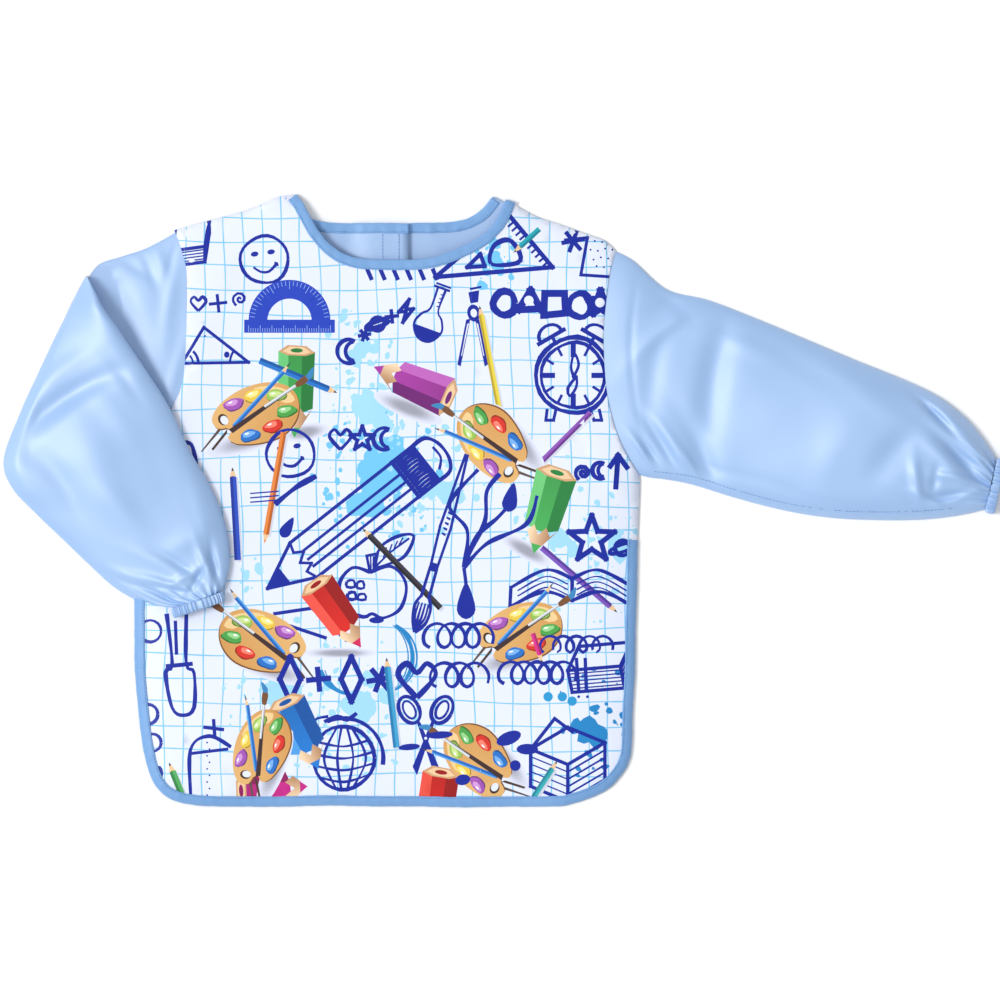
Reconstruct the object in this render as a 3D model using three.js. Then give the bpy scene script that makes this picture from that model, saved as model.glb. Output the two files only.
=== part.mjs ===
// A child's long-sleeved art smock, laid flat on its back with its left-hand sleeve folded down
// over the front. Millimetres. The neck is towards +Y and the smock lies on the plane Z = 0. Left and
// right are as seen from above. It is drawn with its body centred on X = 0 and Y = 0.
import * as THREE from "three";

// Cloth and trim
const fabric = 0.8; // thickness of each cloth layer, with its seam allowance and nap
const gap = 0.3; // free space between cloth layers that lie on each other
const bindingWidth = 9; // finished width of the folded bias tape
const tapeWidth = 20; // hook-and-loop tape
const tapeLength = 100;
const tapeThickness = 1.35;
const elasticWidth = 4;
const elasticThickness = 1;

// Body
const bodyWidth = 460;
const bodyLength = 560;
const cornerRadius = 50;
const backInset = 16; // how far the back's free edges lie inside the front's
const neckHalf = 92;
const frontNeckDepth = 60;
const backNeckDepth = 27;
const shoulderHalf = 206;
const shoulderDrop = 42;
const armholeDepth = 219; // from the shoulder tip down to the underarm
const armholeCurve = 27; // how far the armhole seam bows in from its chord
const underarmIn = 3; // how far the underarm lies inside the side edge
const sideSeam = 52; // length of the seam below the underarm, above the side slit
const bodyLoft = 15; // height of the front's underside over the floor
const loftRun = 60; // how far from a seam the front reaches its full height
const overlap = 12; // how far each back flap reaches past the centre
const foldTop = 112; // where the flap's fold line meets the shoulder seam
const foldHem = 165; // where the fold line meets the back hem

// Sleeves
const sleeveLength = 376; // from the armhole seam to the cuff
const sleeveDrop = 17; // degrees below the X axis
const armholeEase = 24.5; // how much narrower the sleeve's half width is than half its armhole
const underarmLead = 37.5; // how far inside the underarm the sleeve's centre line starts
const sleeveTaper = 0.055; // half width lost for each millimetre of length
const cuffRun = 110; // length over which the sleeve gathers in to its cuff
const cuffHalf = 23;
const cuffHeight = 15;
const sleeveLoft = 27;
const casingWidth = 6.5;
const foldedClearance = 1.6; // free height between the front's bindings and the folded sleeve
const capFlat = 4.2; // height of the folded sleeve's upper part, pressed flat under the fold
const capRuns = [118, 68]; // length of that part at the underarm and at the shoulder
const capSlope = 0.68; // share of its length over which it comes down to its flat height

// Worked out
const layer = fabric + gap;
const bindingThickness = 2 * layer + fabric;
const hemY = -bodyLength / 2;
const neckY = bodyLength / 2;
const tipY = neckY - shoulderDrop;
const underarmY = tipY - armholeDepth;
const underarmX = bodyWidth / 2 - underarmIn;
const slitY = underarmY - sideSeam;
const casingWall = 2 * layer + elasticThickness; // cloth, elastic and cloth, with their gaps
const backHemY = hemY + backInset;
const upperArmHalf = armholeDepth / 2 - armholeEase;
const foldedLift = bodyLoft + layer + fabric + foldedClearance; // where it lies over the body

const mix = (a, b, t) => a + (b - a) * t;
const clamp = (t) => Math.min(1, Math.max(0, t));
const smooth = (t) => clamp(t) ** 2 * (3 - 2 * clamp(t));
const swell = (t) => Math.sqrt(1 - (1 - clamp(t)) ** 2); // a quarter of an ellipse
const point = (x, y) => new THREE.Vector2(x, y);

// ---- outlines, drawn for the right half (side 1) or mirrored to the left half (side -1) ----

const armholeX = (y) => {
  const t = clamp((y - underarmY) / armholeDepth);
  return mix(underarmX, shoulderHalf, t) - armholeCurve * Math.sin(Math.PI * t);
};
const shoulderY = (x) => mix(neckY, tipY, clamp((x - neckHalf) / (shoulderHalf - neckHalf)));
const frontNeckY = (x) => neckY - frontNeckDepth * (1 - (Math.abs(x) / neckHalf) ** 3.4);
const backNeckY = (x) => neckY - backNeckDepth * (1 - (Math.abs(x) / neckHalf) ** 6);
const foldX = (y) => mix(foldHem, foldTop, (y - backHemY) / (shoulderY(foldTop) - backHemY));

// Points from the start to the end of a run, at the given number of steps.
function run(steps, at) {
  return Array.from({ length: steps + 1 }, (_, i) => at(i / steps));
}

const armhole = run(14, (t) => {
  const y = mix(underarmY, tipY, t);
  return point(armholeX(y), y);
});
const hemCorner = (halfWidth, bottom, radius) => run(6, (t) => {
  const a = (t * Math.PI) / 2;
  return point(halfWidth - radius + radius * Math.sin(a), bottom + radius - radius * Math.cos(a));
});

// The share of a neckline left without tape at its end, where it meets the shoulder seam.
const nearEnd = 0.06;

// The right half of the front's outline, from the middle of the hem to the neck point.
function frontHalf() {
  const half = bodyWidth / 2;
  return {
    hem: run(5, (t) => point(mix(0, half - cornerRadius, t), hemY)),
    corner: hemCorner(half, hemY, cornerRadius),
    slit: run(4, (t) => point(half, mix(hemY + cornerRadius, slitY, t))),
    seam: run(2, (t) => point(mix(half, underarmX, t), mix(slitY, underarmY, t))),
    armhole,
    shoulder: run(4, (t) => point(mix(shoulderHalf, neckHalf, t), mix(tipY, neckY, t))),
    neck: [0, nearEnd, 0.12, 0.25, 0.38, 0.5, 0.63, 0.76, 0.88, 1].map((t) => {
      const x = neckHalf * (1 - t) ** 0.7;
      return point(x, frontNeckY(x));
    }),
  };
}

const joined = (...runs) => runs.flatMap((r, i) => (i ? r.slice(1) : r));
const mirrored = (points) => points.map((p) => point(-p.x, p.y)).reverse();

// ---- heights ----

function distance(p, line) {
  let best = Infinity;
  for (let i = 1; i < line.length; i += 1) {
    const d = line[i].clone().sub(line[i - 1]);
    const t = clamp(p.clone().sub(line[i - 1]).dot(d) / d.lengthSq());
    best = Math.min(best, line[i - 1].clone().addScaledVector(d, t).distanceTo(p));
  }
  return best;
}

const half = frontHalf();
const pinned = [joined(half.corner, half.slit, half.seam), half.shoulder];

// Underside of the front: low along its seams and slits, lofted between them. At the seams it lies
// on the back, and at the neck points it lies on the back's binding.
const slitRise = 60; // length below the slit's top over which the front comes up on to the back
const neckTapeReach = 75; // how far from a neck point the front starts to rise on to the tape
const neckTapeRun = 45;
function frontUnder(p) {
  const q = point(Math.abs(p.x), p.y);
  const onBack = smooth((p.y - slitY + slitRise) / slitRise);
  const fromNeck = q.distanceTo(point(neckHalf, neckY));
  const onNeckTape = smooth((neckTapeReach - fromNeck) / neckTapeRun);
  const low = layer * (1 + onBack) + bindingThickness * onNeckTape;
  const away = Math.min(...pinned.map((line) => distance(q, line)));
  return low + (bodyLoft - low) * swell((away - bindingWidth - gap) / loftRun);
}

// ---- solids ----

// Moves every vertex of a geometry and keeps its faces.
function reshape(geometry, move) {
  const at = geometry.attributes.position;
  for (let i = 0; i < at.count; i += 1) {
    const p = move(new THREE.Vector3().fromBufferAttribute(at, i));
    at.setXYZ(i, p.x, p.y, p.z);
  }
  geometry.deleteAttribute("normal");
  geometry.deleteAttribute("uv");
  return geometry;
}

// The unit normals that point into a closed, anticlockwise outline.
function inwards(outline) {
  const n = outline.length;
  return outline.map((p, i) => {
    const a = p.clone().sub(outline[(i + n - 1) % n]).normalize();
    const b = outline[(i + 1) % n].clone().sub(p).normalize();
    const d = a.add(b).normalize();
    return point(-d.y, d.x);
  });
}

// A cloth panel: rings run from its outline in to its centre. The outer rings are bands of fixed
// width along the edge, where the cloth lies level so that tape can fold round it.
function panel(outline, centre, underside) {
  const normals = inwards(outline);
  const bands = [0, bindingWidth + gap, bindingWidth + gap + 7];
  const shares = [0.78, 0.5, 0.25];
  const rings = bands.length + shares.length;
  const profile = [point(0, 0)];
  for (let i = rings; i > 0; i -= 1) profile.push(point(rings - i + 1, 0));
  for (let i = 1; i <= rings; i += 1) profile.push(point(rings - i + 1, 1));
  profile.push(point(0, 1));
  const turns = outline.length;
  const lathe = new THREE.LatheGeometry(profile, turns);
  return reshape(lathe, (v) => {
    const reach = Math.round(Math.hypot(v.x, v.z));
    const turn = Math.round((Math.atan2(v.x, v.z) / (2 * Math.PI)) * turns);
    const s = ((turn % turns) + turns) % turns;
    const ring = rings - reach;
    const place = centre.clone();
    if (ring < bands.length) {
      place.copy(outline[s]).addScaledVector(normals[s], bands[ring]);
    } else if (reach > 0) {
      place.copy(outline[s]).addScaledVector(normals[s], bands[2]);
      place.lerpVectors(centre, place, shares[ring - bands.length]);
    }
    const z = underside(place, ring < 2 ? outline[s] : place, ring < 2);
    return new THREE.Vector3(place.x, place.y, z + v.y * fabric);
  });
}

// A level panel that lies one layer over the floor, on the lower lips of its binding.
function levelPanel(outline) {
  const slab = new THREE.ExtrudeGeometry(new THREE.Shape(outline), {
    depth: fabric,
    bevelEnabled: false,
  });
  return slab.translate(0, 0, layer);
}

// A strip with a constant section, swept along points. Section x runs into the cloth and y is up.
function sweep(section, line, intoCloth, height) {
  const strip = new THREE.ExtrudeGeometry(section, {
    depth: line.length - 1,
    steps: line.length - 1,
    bevelEnabled: false,
  });
  return reshape(strip, (v) => {
    const i = Math.round(v.z);
    const p = line[i].clone().addScaledVector(intoCloth[i], v.x);
    return new THREE.Vector3(p.x, p.y, height(line[i]) + v.y);
  });
}

// Normals into the cloth along an open line that has the cloth on its left.
function alongside(line) {
  return line.map((p, i) => {
    const a = line[Math.max(0, i - 1)];
    const b = line[Math.min(line.length - 1, i + 1)];
    const d = b.clone().sub(a).normalize();
    return point(-d.y, d.x);
  });
}

// Bias tape folded round a cloth edge: lips above and below, closed at the outside.
function bindingSection() {
  const edge = -gap - fabric;
  const depth = bindingWidth + edge;
  const shape = new THREE.Shape();
  shape.moveTo(edge, -layer);
  shape.lineTo(depth, -layer);
  shape.lineTo(depth, -gap);
  shape.lineTo(-gap, -gap);
  shape.lineTo(-gap, layer);
  shape.lineTo(depth, layer);
  shape.lineTo(depth, layer + fabric);
  shape.lineTo(edge, layer + fabric);
  return shape;
}
const binding = (line, under) => sweep(bindingSection(), line, alongside(line), under);

// ---- the back: each half is one cloth, held as a sewn side and a flap on each side of its fold ----

function sideOutline() {
  const halfWidth = bodyWidth / 2 - backInset;
  const radius = cornerRadius - backInset;
  const slitTop = slitY - 6;
  const seamStart = slitY + 20;
  const bound = joined(
    run(2, (t) => point(mix(foldHem + gap, halfWidth - radius, t), backHemY)),
    hemCorner(halfWidth, backHemY, radius),
    run(4, (t) => point(halfWidth, mix(backHemY + radius, slitTop, t))),
  );
  const sewn = joined(
    [bound[bound.length - 1], point(halfWidth + 2, slitY + 3), point(bodyWidth / 2 - 1, seamStart)],
    [point(bodyWidth / 2 - 1, seamStart), point(underarmX, underarmY)],
    armhole,
    run(3, (t) => {
      const x = mix(shoulderHalf, foldTop + gap, t);
      return point(x, shoulderY(x));
    }),
  );
  const fold = run(10, (t) => {
    const y = mix(shoulderY(foldTop), backHemY, t);
    return point(foldX(y) + gap, y);
  });
  return { bound, whole: joined(bound, sewn, fold).slice(0, -1) };
}

function flapOutline() {
  const neck = [0, nearEnd, 0.1, 0.2, 0.32, 0.46, 0.6, 0.76, 0.9, 1].map((t) => {
    const x = mix(neckHalf, -overlap, t);
    return point(x, x < 0 ? neckY - backNeckDepth : backNeckY(x));
  });
  const hem = run(6, (t) => point(mix(-overlap, foldHem - gap, t), backHemY));
  const fold = run(10, (t) => {
    const y = mix(backHemY, shoulderY(foldTop), t);
    return point(foldX(y) - gap, y);
  });
  const shoulder = [fold[fold.length - 1], point(neckHalf, neckY)];
  const edge = run(9, (t) => point(-overlap, mix(neckY - backNeckDepth, backHemY, t)));
  return { neck, hem, whole: joined(hem, fold, shoulder, neck, edge).slice(0, -1) };
}

const sideBack = sideOutline();
const flapBack = flapOutline();
const tapeTop = neckY - backNeckDepth - bindingWidth - 4;
const tapeStack = 2 * (tapeThickness + gap);
const backUnder = () => layer; // the back's cloth lies one layer over the floor
// The left flap lies on the right one's binding, and on the tapes, where they overlap.
const onRightFlap = Math.max(layer + tapeStack, bindingThickness + gap);
const lapRun = 28; // length over which the left flap climbs on to the right one
const lapLead = 24; // level length of the left flap outside the right flap's edge
const leftFlapUnder = (p) =>
  layer + onRightFlap * smooth((overlap + lapLead + lapRun + p.x) / lapRun);

// ---- sleeves ----

// The section of a sleeve at angle a: w is its half width, h its height, and round is 0 where it
// lies flat with thin edges and 1 at the cuff, where it is an ellipse. depth goes into the wall.
function sleeveSection(a, w, h, round, depth) {
  const s = Math.abs(Math.sin(a));
  const upper = a <= Math.PI + 1e-6;
  const thin = 2 * layer - gap;
  const inset = depth * mix(1, s, round);
  const rim = mix(upper ? thin : 0, h / 2, round);
  const z = upper ? rim + (h - rim) * s - inset : rim * (1 - s) + inset;
  return { across: (w - depth * mix(2, 1, round)) * Math.cos(a), z };
}

// A tube of cloth through stations. Each station places a section point (share, a, z).
function tube(stations, sides, wall) {
  const n = stations.length;
  const profile = [];
  for (let i = 0; i < n; i += 1) profile.push(point(2, i));
  for (let i = n - 1; i >= 0; i -= 1) profile.push(point(1, i));
  profile.push(point(2, 0));
  const lathe = new THREE.LatheGeometry(profile, sides);
  return reshape(lathe, (v) => {
    const outside = Math.hypot(v.x, v.z) > 1.5;
    const turn = Math.round((Math.atan2(v.x, v.z) / (2 * Math.PI)) * sides);
    const a = (((turn % sides) + sides) % sides) * ((2 * Math.PI) / sides);
    return stations[Math.round(v.y)](a, outside ? 0 : wall);
  });
}

// A station between a lower edge point and an upper edge point, bowed in plan by bow(share).
function station(low, high, h, round, lift = () => 0, bow = () => 0, topOf = null) {
  const across = high.clone().sub(low);
  const w = across.length() / 2;
  const middle = low.clone().add(high).multiplyScalar(0.5);
  const unit = across.normalize();
  return (a, depth) => {
    const at = sleeveSection(a, w, h, round, depth);
    const share = clamp((at.across / w + 1) / 2);
    const p = middle.clone().addScaledVector(unit, at.across);
    p.x += bow(share);
    const z = topOf && a <= Math.PI + 1e-6 ? topOf(p, share) - depth : at.z;
    return new THREE.Vector3(p.x, p.y, z + lift(p));
  };
}

// The station on the armhole seam, side 1 or -1, a gap outside the body's edge.
function armholeStation(side) {
  const low = point(side * (underarmX + 2 * gap), underarmY);
  const high = point(side * (shoulderHalf + 2 * gap), tipY);
  const bow = (share) => -side * armholeCurve * Math.sin(Math.PI * share);
  const top = (p) => {
    const seam = point(armholeX(p.y), p.y);
    return frontUnder(seam) + fabric;
  };
  return station(low, high, bodyLoft + fabric, 0, () => 0, bow, top);
}

// The stations of the sleeve, as shares of its length.
const sleeveShares = [0.154, 0.293, 0.452, 0.598, 0.707, 0.798, 0.864, 0.926, 0.968, 1];
const sleeveHalf = (u) => {
  const plain = upperArmHalf - sleeveTaper * Math.min(u, sleeveLength - cuffRun);
  const t = clamp((u - (sleeveLength - cuffRun)) / cuffRun);
  return cuffHalf + (plain - cuffHalf) * (1 - t * t) ** 0.9;
};

function rightSleeveAt(u) {
  const angle = THREE.MathUtils.degToRad(-sleeveDrop);
  const start = point(underarmX - underarmLead, (underarmY + tipY) / 2);
  const along = point(Math.cos(angle), Math.sin(angle));
  const across = point(-along.y, along.x);
  const p = start.clone().addScaledVector(along, u);
  return { p, along, across };
}

function rightSleeveStation(u, wide = sleeveHalf(u)) {
  const { p, across } = rightSleeveAt(u);
  const t = clamp((u - (sleeveLength - cuffRun)) / cuffRun);
  const h = mix(sleeveLoft, cuffHeight, smooth(t));
  const low = p.clone().addScaledVector(across, -wide);
  const high = p.clone().addScaledVector(across, wide);
  return station(low, high, h, smooth(t));
}

// The folded sleeve's lower part: outer and inner edge points from the fold to the cuff, as
// distances from the shoulder tip, drawn for a sleeve of the drawn length.
const drawnLength = 376;
const foldedEdges = [
  [-76, -24, -70, -27], [-93, -60, -62, -61], [-111, -98, -41, -94], [-130, -137, -18, -129],
  [-150, -181, 6, -169], [-153, -215, 30, -217], [-123, -247, 45, -250], [-91, -274, 52, -283],
  [-61, -307, 50, -311], [-29, -334, 47, -323], [2.5, -338, 46, -324],
];
const foldedScale = sleeveLength / drawnLength;
const foldedHeights = [6, 14, 20, 24, sleeveLoft, sleeveLoft, 26, 24, 21, 17, cuffHeight];

// Height of the upper part at a share of its length, and the share at a place.
const capHeightAt = (share) => mix(bodyLoft, capFlat, smooth(share / capSlope));
function capShareAt(p) {
  const up = clamp((p.y - underarmY) / armholeDepth);
  const seamX = -mix(underarmX, shoulderHalf, up);
  return clamp((seamX - p.x) / (mix(...capRuns, up) * foldedScale));
}

// How high the folded part is carried: over the upper part, over the front, and down to the floor
// beside the body below the underarm.
const capEase = 0.1; // share of the upper part that stays pressed flat before it swells
const besideRun = 36; // length beside the body over which the folded part comes down to the floor
const underarmDrop = [60, 50]; // where below the underarm it leaves the upper part, and its run
function foldedLiftAt(p) {
  const share = capShareAt(p);
  const swollen = smooth((capSlope + capEase - share) / capSlope);
  const overCap = capHeightAt(share) + gap + (foldedLift - bodyLoft - gap) * swollen;
  const besideBody = foldedLift * smooth((p.x + bodyWidth / 2 + besideRun + layer) / besideRun);
  const [start, length] = underarmDrop;
  return mix(besideBody, overCap, smooth((p.y - underarmY + start) / length));
}

function foldedStation(i, shift = 0) {
  const [ox, oy, ix, iy] = foldedEdges[i].map((d) => d * foldedScale);
  const outer = point(ox - shoulderHalf, oy + tipY);
  const inner = point(ix - shoulderHalf, iy + tipY);
  const across = inner.clone().sub(outer).normalize();
  const along = point(across.y, -across.x);
  const wide = i === foldedEdges.length - 1 ? cuffHalf : inner.distanceTo(outer) / 2;
  const middle = outer.clone().add(inner).multiplyScalar(0.5).addScaledVector(along, shift);
  const low = middle.clone().addScaledVector(across, -wide);
  const high = middle.clone().addScaledVector(across, wide);
  const t = clamp((i - 5) / (foldedEdges.length - 6));
  const lift = i === foldedEdges.length - 1 ? () => foldedLift : foldedLiftAt;
  return station(low, high, foldedHeights[i], smooth(t), lift);
}

// The folded sleeve's upper part, from the armhole to where it goes under the fold.
const capRise = 14; // how far its lower edge rises from the underarm to the fold
const capDrop = 30; // how far its upper edge drops from the shoulder tip to the fold
function capStations() {
  const capLow = point(-underarmX - capRuns[0] * foldedScale, underarmY + capRise);
  const capHigh = point(-shoulderHalf - capRuns[1] * foldedScale, tipY - capDrop);
  const start = [point(-underarmX, underarmY), point(-shoulderHalf, tipY)];
  const along = [0.12, 0.3, 0.5, capSlope, 1].map((t) => {
    const [low, high] = [start[0].clone().lerp(capLow, t), start[1].clone().lerp(capHigh, t)];
    return station(low, high, capHeightAt(t), 0);
  });
  return [armholeStation(-1), ...along];
}

// The cuff: the sleeve's hem turned in as a casing, and the elastic inside it. Both are rings
// between two places along the cuff, and from one depth to another below the cuff's outside.
function cuffRing(stationAt, profile, sides) {
  const lathe = new THREE.LatheGeometry(profile.map(([u, d]) => point(10 + d, u)), sides);
  return reshape(lathe, (v) => {
    const depth = Math.hypot(v.x, v.z) - 10;
    const turn = Math.round((Math.atan2(v.x, v.z) / (2 * Math.PI)) * sides);
    const a = (((turn % sides) + sides) % sides) * ((2 * Math.PI) / sides);
    return stationAt(v.y)(a, depth);
  });
}
const cuffSides = 28;
// The casing in section, as places along the cuff and depths below its outside.
const casingProfile = [
  [gap, 0], [gap + casingWidth, 0], [gap + casingWidth, casingWall], [gap, casingWall],
  [gap, casingWall - fabric], [gap + casingWidth - fabric, casingWall - fabric],
  [gap + casingWidth - fabric, fabric], [gap, fabric], [gap, 0],
];
const elasticStart = 3 * gap;
const elasticProfile = [
  [elasticStart, layer], [elasticStart + elasticWidth, layer],
  [elasticStart + elasticWidth, layer + elasticThickness],
  [elasticStart, layer + elasticThickness], [elasticStart, layer],
];

// ---- materials ----

const cloth = (colour, roughness = 0.45) =>
  new THREE.MeshStandardMaterial({ color: colour, roughness, metalness: 0 });
const printed = cloth(0xe9edfb);
const satin = cloth(0xa9c8f2);
const lining = cloth(0xb4cdf0, 0.6);
const tapeCloth = cloth(0x8db9e8);
const hookLoop = cloth(0xdfe8f4, 0.9);
const elastic = cloth(0xf4f4f2, 0.8);

// ---- the smock ----

const smock = new THREE.Group();
function add(name, geometry, material) {
  const mesh = new THREE.Mesh(geometry, material);
  mesh.name = name;
  smock.add(mesh);
}

// The same solid on the other side of the smock.
function otherSide(geometry) {
  const copy = geometry.index ? geometry.toNonIndexed() : geometry.clone();
  const at = copy.attributes.position;
  for (let i = 0; i < at.count; i += 3) {
    const [a, b, c] = [0, 1, 2].map((k) => new THREE.Vector3().fromBufferAttribute(at, i + k));
    at.setXYZ(i, -a.x, a.y, a.z);
    at.setXYZ(i + 1, -c.x, c.y, c.z);
    at.setXYZ(i + 2, -b.x, b.y, b.z);
  }
  return copy;
}

function addFront() {
  const rightSide = joined(
    half.hem, half.corner, half.slit, half.seam, half.armhole, half.shoulder, half.neck,
  );
  const outline = joined(rightSide, mirrored(rightSide)).slice(0, -1);
  const under = (place, edgePoint) => frontUnder(edgePoint);
  add("front_panel", panel(outline, point(0, 0), under), printed);
  const free = joined(half.hem, half.corner, half.slit);
  add("front_hem_binding", binding(joined(mirrored(free), free), frontUnder), tapeCloth);
  const neckline = half.neck.slice(1);
  const fullNeckline = joined(neckline, mirrored(neckline));
  add("front_neck_binding", binding(fullNeckline, frontUnder), tapeCloth);
}

function addBack() {
  const side = levelPanel(sideBack.whole);
  add("back_side_right", side, lining);
  add("back_side_left", otherSide(side), lining);
  const sideTape = binding(sideBack.bound, backUnder);
  add("back_side_binding_right", sideTape, tapeCloth);
  add("back_side_binding_left", otherSide(sideTape), tapeCloth);

  add("back_flap_right", levelPanel(flapBack.whole), lining);
  const leftWhole = mirrored(flapBack.whole);
  const leftCentre = point((overlap - foldHem) / 2, 0);
  const leftFlap = panel(leftWhole, leftCentre, (place, edge) => leftFlapUnder(edge));
  add("back_flap_left", leftFlap, lining);

  for (const [edgeName, line] of [["neck", flapBack.neck.slice(1)], ["hem", flapBack.hem]]) {
    add(`flap_${edgeName}_binding_right`, binding(line, backUnder), tapeCloth);
    add(`flap_${edgeName}_binding_left`, binding(mirrored(line), leftFlapUnder), tapeCloth);
  }
}

function addClosure() {
  const strip = () => new THREE.BoxGeometry(tapeWidth, tapeLength, tapeThickness);
  const middle = tapeTop - tapeLength / 2;
  const loopZ = 2 * layer + tapeThickness / 2;
  add("loop_tape", strip().translate(0, middle, loopZ), hookLoop);
  add("hook_tape", strip().translate(0, middle, loopZ + tapeThickness + gap), hookLoop);
}

function addRightSleeve() {
  const stations = [armholeStation(1), ...sleeveShares.map((t) => rightSleeveStation(t * sleeveLength))];
  add("right_sleeve", tube(stations, 28, fabric), satin);
  const cuffAt = (along) => rightSleeveStation(sleeveLength + along, cuffHalf);
  add("right_cuff_casing", cuffRing(cuffAt, casingProfile, cuffSides), satin);
  add("right_cuff_elastic", cuffRing(cuffAt, elasticProfile, cuffSides), elastic);
}

function addLeftSleeve() {
  const upper = otherSide(tube(capStations().map((at) => (a, depth) => {
    const p = at(a, depth);
    return new THREE.Vector3(-p.x, p.y, p.z);
  }), 28, fabric));
  add("left_sleeve_upper", upper, satin);
  const lower = foldedEdges.map((_, i) => foldedStation(i));
  add("left_sleeve_lower", tube(lower, 28, fabric), satin);
  const cuffAt = (along) => foldedStation(foldedEdges.length - 1, along);
  add("left_cuff_casing", cuffRing(cuffAt, casingProfile, cuffSides), satin);
  add("left_cuff_elastic", cuffRing(cuffAt, elasticProfile, cuffSides), elastic);
}

addFront();
addBack();
addClosure();
addRightSleeve();
addLeftSleeve();

// The frame's origin is the middle of the underside of the whole smock, sleeves included.
const box = new THREE.Box3().setFromObject(smock);
smock.position.set(-(box.min.x + box.max.x) / 2, -(box.min.y + box.max.y) / 2, -box.min.z);

export default smock;
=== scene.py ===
import math
import random

import bmesh
import bpy
import numpy as np
from mathutils import Matrix, Vector
from mathutils.geometry import convex_hull_2d, delaunay_2d_cdt


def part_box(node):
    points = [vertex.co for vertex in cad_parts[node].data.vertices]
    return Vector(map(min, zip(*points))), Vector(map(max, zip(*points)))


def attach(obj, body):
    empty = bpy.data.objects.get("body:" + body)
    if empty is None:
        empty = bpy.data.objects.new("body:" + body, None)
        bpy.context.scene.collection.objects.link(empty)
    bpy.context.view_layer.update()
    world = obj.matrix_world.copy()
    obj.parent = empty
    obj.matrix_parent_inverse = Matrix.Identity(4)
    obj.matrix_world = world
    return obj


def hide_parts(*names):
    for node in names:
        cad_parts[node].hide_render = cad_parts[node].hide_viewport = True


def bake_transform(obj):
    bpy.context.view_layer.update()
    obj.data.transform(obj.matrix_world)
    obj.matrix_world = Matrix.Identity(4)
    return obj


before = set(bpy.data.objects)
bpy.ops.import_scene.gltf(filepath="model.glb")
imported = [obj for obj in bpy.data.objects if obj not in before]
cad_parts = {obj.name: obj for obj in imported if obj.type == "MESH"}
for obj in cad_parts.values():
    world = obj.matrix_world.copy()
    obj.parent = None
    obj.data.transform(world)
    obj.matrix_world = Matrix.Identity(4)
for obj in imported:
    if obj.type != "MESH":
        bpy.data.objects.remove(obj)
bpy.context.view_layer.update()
print("frame loaded")

# Lengths below are in millimetres; mm turns them into the scene's metres.
mm = 0.001
fullTurn = 6.28  # in radians, for the phases of waves
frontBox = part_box("front_panel")
hemY = frontBox[0].y / mm
bodyMid = (frontBox[0].x + frontBox[1].x) / 2 / mm


def mix(a, b, t):
    return a + (b - a) * t


def smooth(t):
    t = min(1.0, max(0.0, t))
    return t * t * (3 - 2 * t)


def curveThrough(points, step, closed=False):
    # Catmull-Rom curve through the points, with a point about every step
    n = len(points)
    out = []
    spans = n if closed else n - 1
    for i in range(spans):
        if closed:
            p = [points[(i + k) % n] for k in (-1, 0, 1, 2)]
        else:
            p = [points[min(n - 1, max(0, i + k))] for k in (-1, 0, 1, 2)]
        length = math.dist(p[1], p[2])
        count = max(1, round(length / step))
        for k in range(count):
            t = k / count
            out.append(tuple(
                0.5 * (2 * b + (c - a) * t + (2 * a - 5 * b + 4 * c - d) * t * t
                       + (3 * b - 3 * c + d - a) * t ** 3)
                for a, b, c, d in zip(*p)))
    if not closed:
        out.append(tuple(points[-1]))
    return out


def along(points, share):
    # the place at a share of a polyline's points
    at = share * (len(points) - 1)
    i = min(len(points) - 2, int(at))
    return tuple(mix(a, b, at - i) for a, b in zip(points[i], points[i + 1]))


def evenly(points, step):
    # the polyline again, with points at equal distances
    steps = [math.dist(a, b) for a, b in zip(points, points[1:])]
    total = sum(steps)
    count = max(2, round(total / step))
    out, i, done = [], 0, 0.0
    for k in range(count + 1):
        want = total * k / count
        while i < len(steps) - 1 and done + steps[i] < want:
            done += steps[i]
            i += 1
        t = (want - done) / steps[i] if steps[i] else 0
        out.append(tuple(mix(a, b, min(1, t)) for a, b in zip(points[i], points[i + 1])))
    return out


def leftOf(points):
    # unit normals on the left of a line
    out = []
    for i in range(len(points)):
        a, b = points[max(0, i - 1)], points[min(len(points) - 1, i + 1)]
        d = Vector((b[0] - a[0], b[1] - a[1])).normalized()
        out.append((-d.y, d.x))
    return out


def makeObject(name, bm, materials):
    mesh = bpy.data.meshes.new(name)
    bm.to_mesh(mesh)
    bm.free()
    for p in mesh.polygons:
        p.use_smooth = True
    obj = bpy.data.objects.new(name, mesh)
    bpy.context.scene.collection.objects.link(obj)
    for m in materials:
        mesh.materials.append(m)
    return obj


def gridInto(bm, across, length, place):
    # a grid of the given steps, put in place by place(u, v), with shares 0 to 1
    made = bmesh.ops.create_grid(bm, x_segments=across, y_segments=length, size=0.5)
    for v in made["verts"]:
        v.co = Vector(place(v.co.x + 0.5, v.co.y + 0.5)) * mm


def sealed(bm):
    bmesh.ops.remove_doubles(bm, verts=bm.verts, dist=1e-6)
    bmesh.ops.recalc_face_normals(bm, faces=bm.faces)


def nodeMaterial(name):
    m = bpy.data.materials.new(name)
    m.use_nodes = True
    return m, m.node_tree, m.node_tree.nodes["Principled BSDF"]


def addNode(tree, kind, **values):
    node = tree.nodes.new(kind)
    for key, value in values.items():
        if key in node.inputs:
            node.inputs[key].default_value = value
        else:
            setattr(node, key, value)
    return node


weave = {"pitch": 0.45, "depth": 0.00004, "strength": 0.35, "mottle": 14.0}


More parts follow.
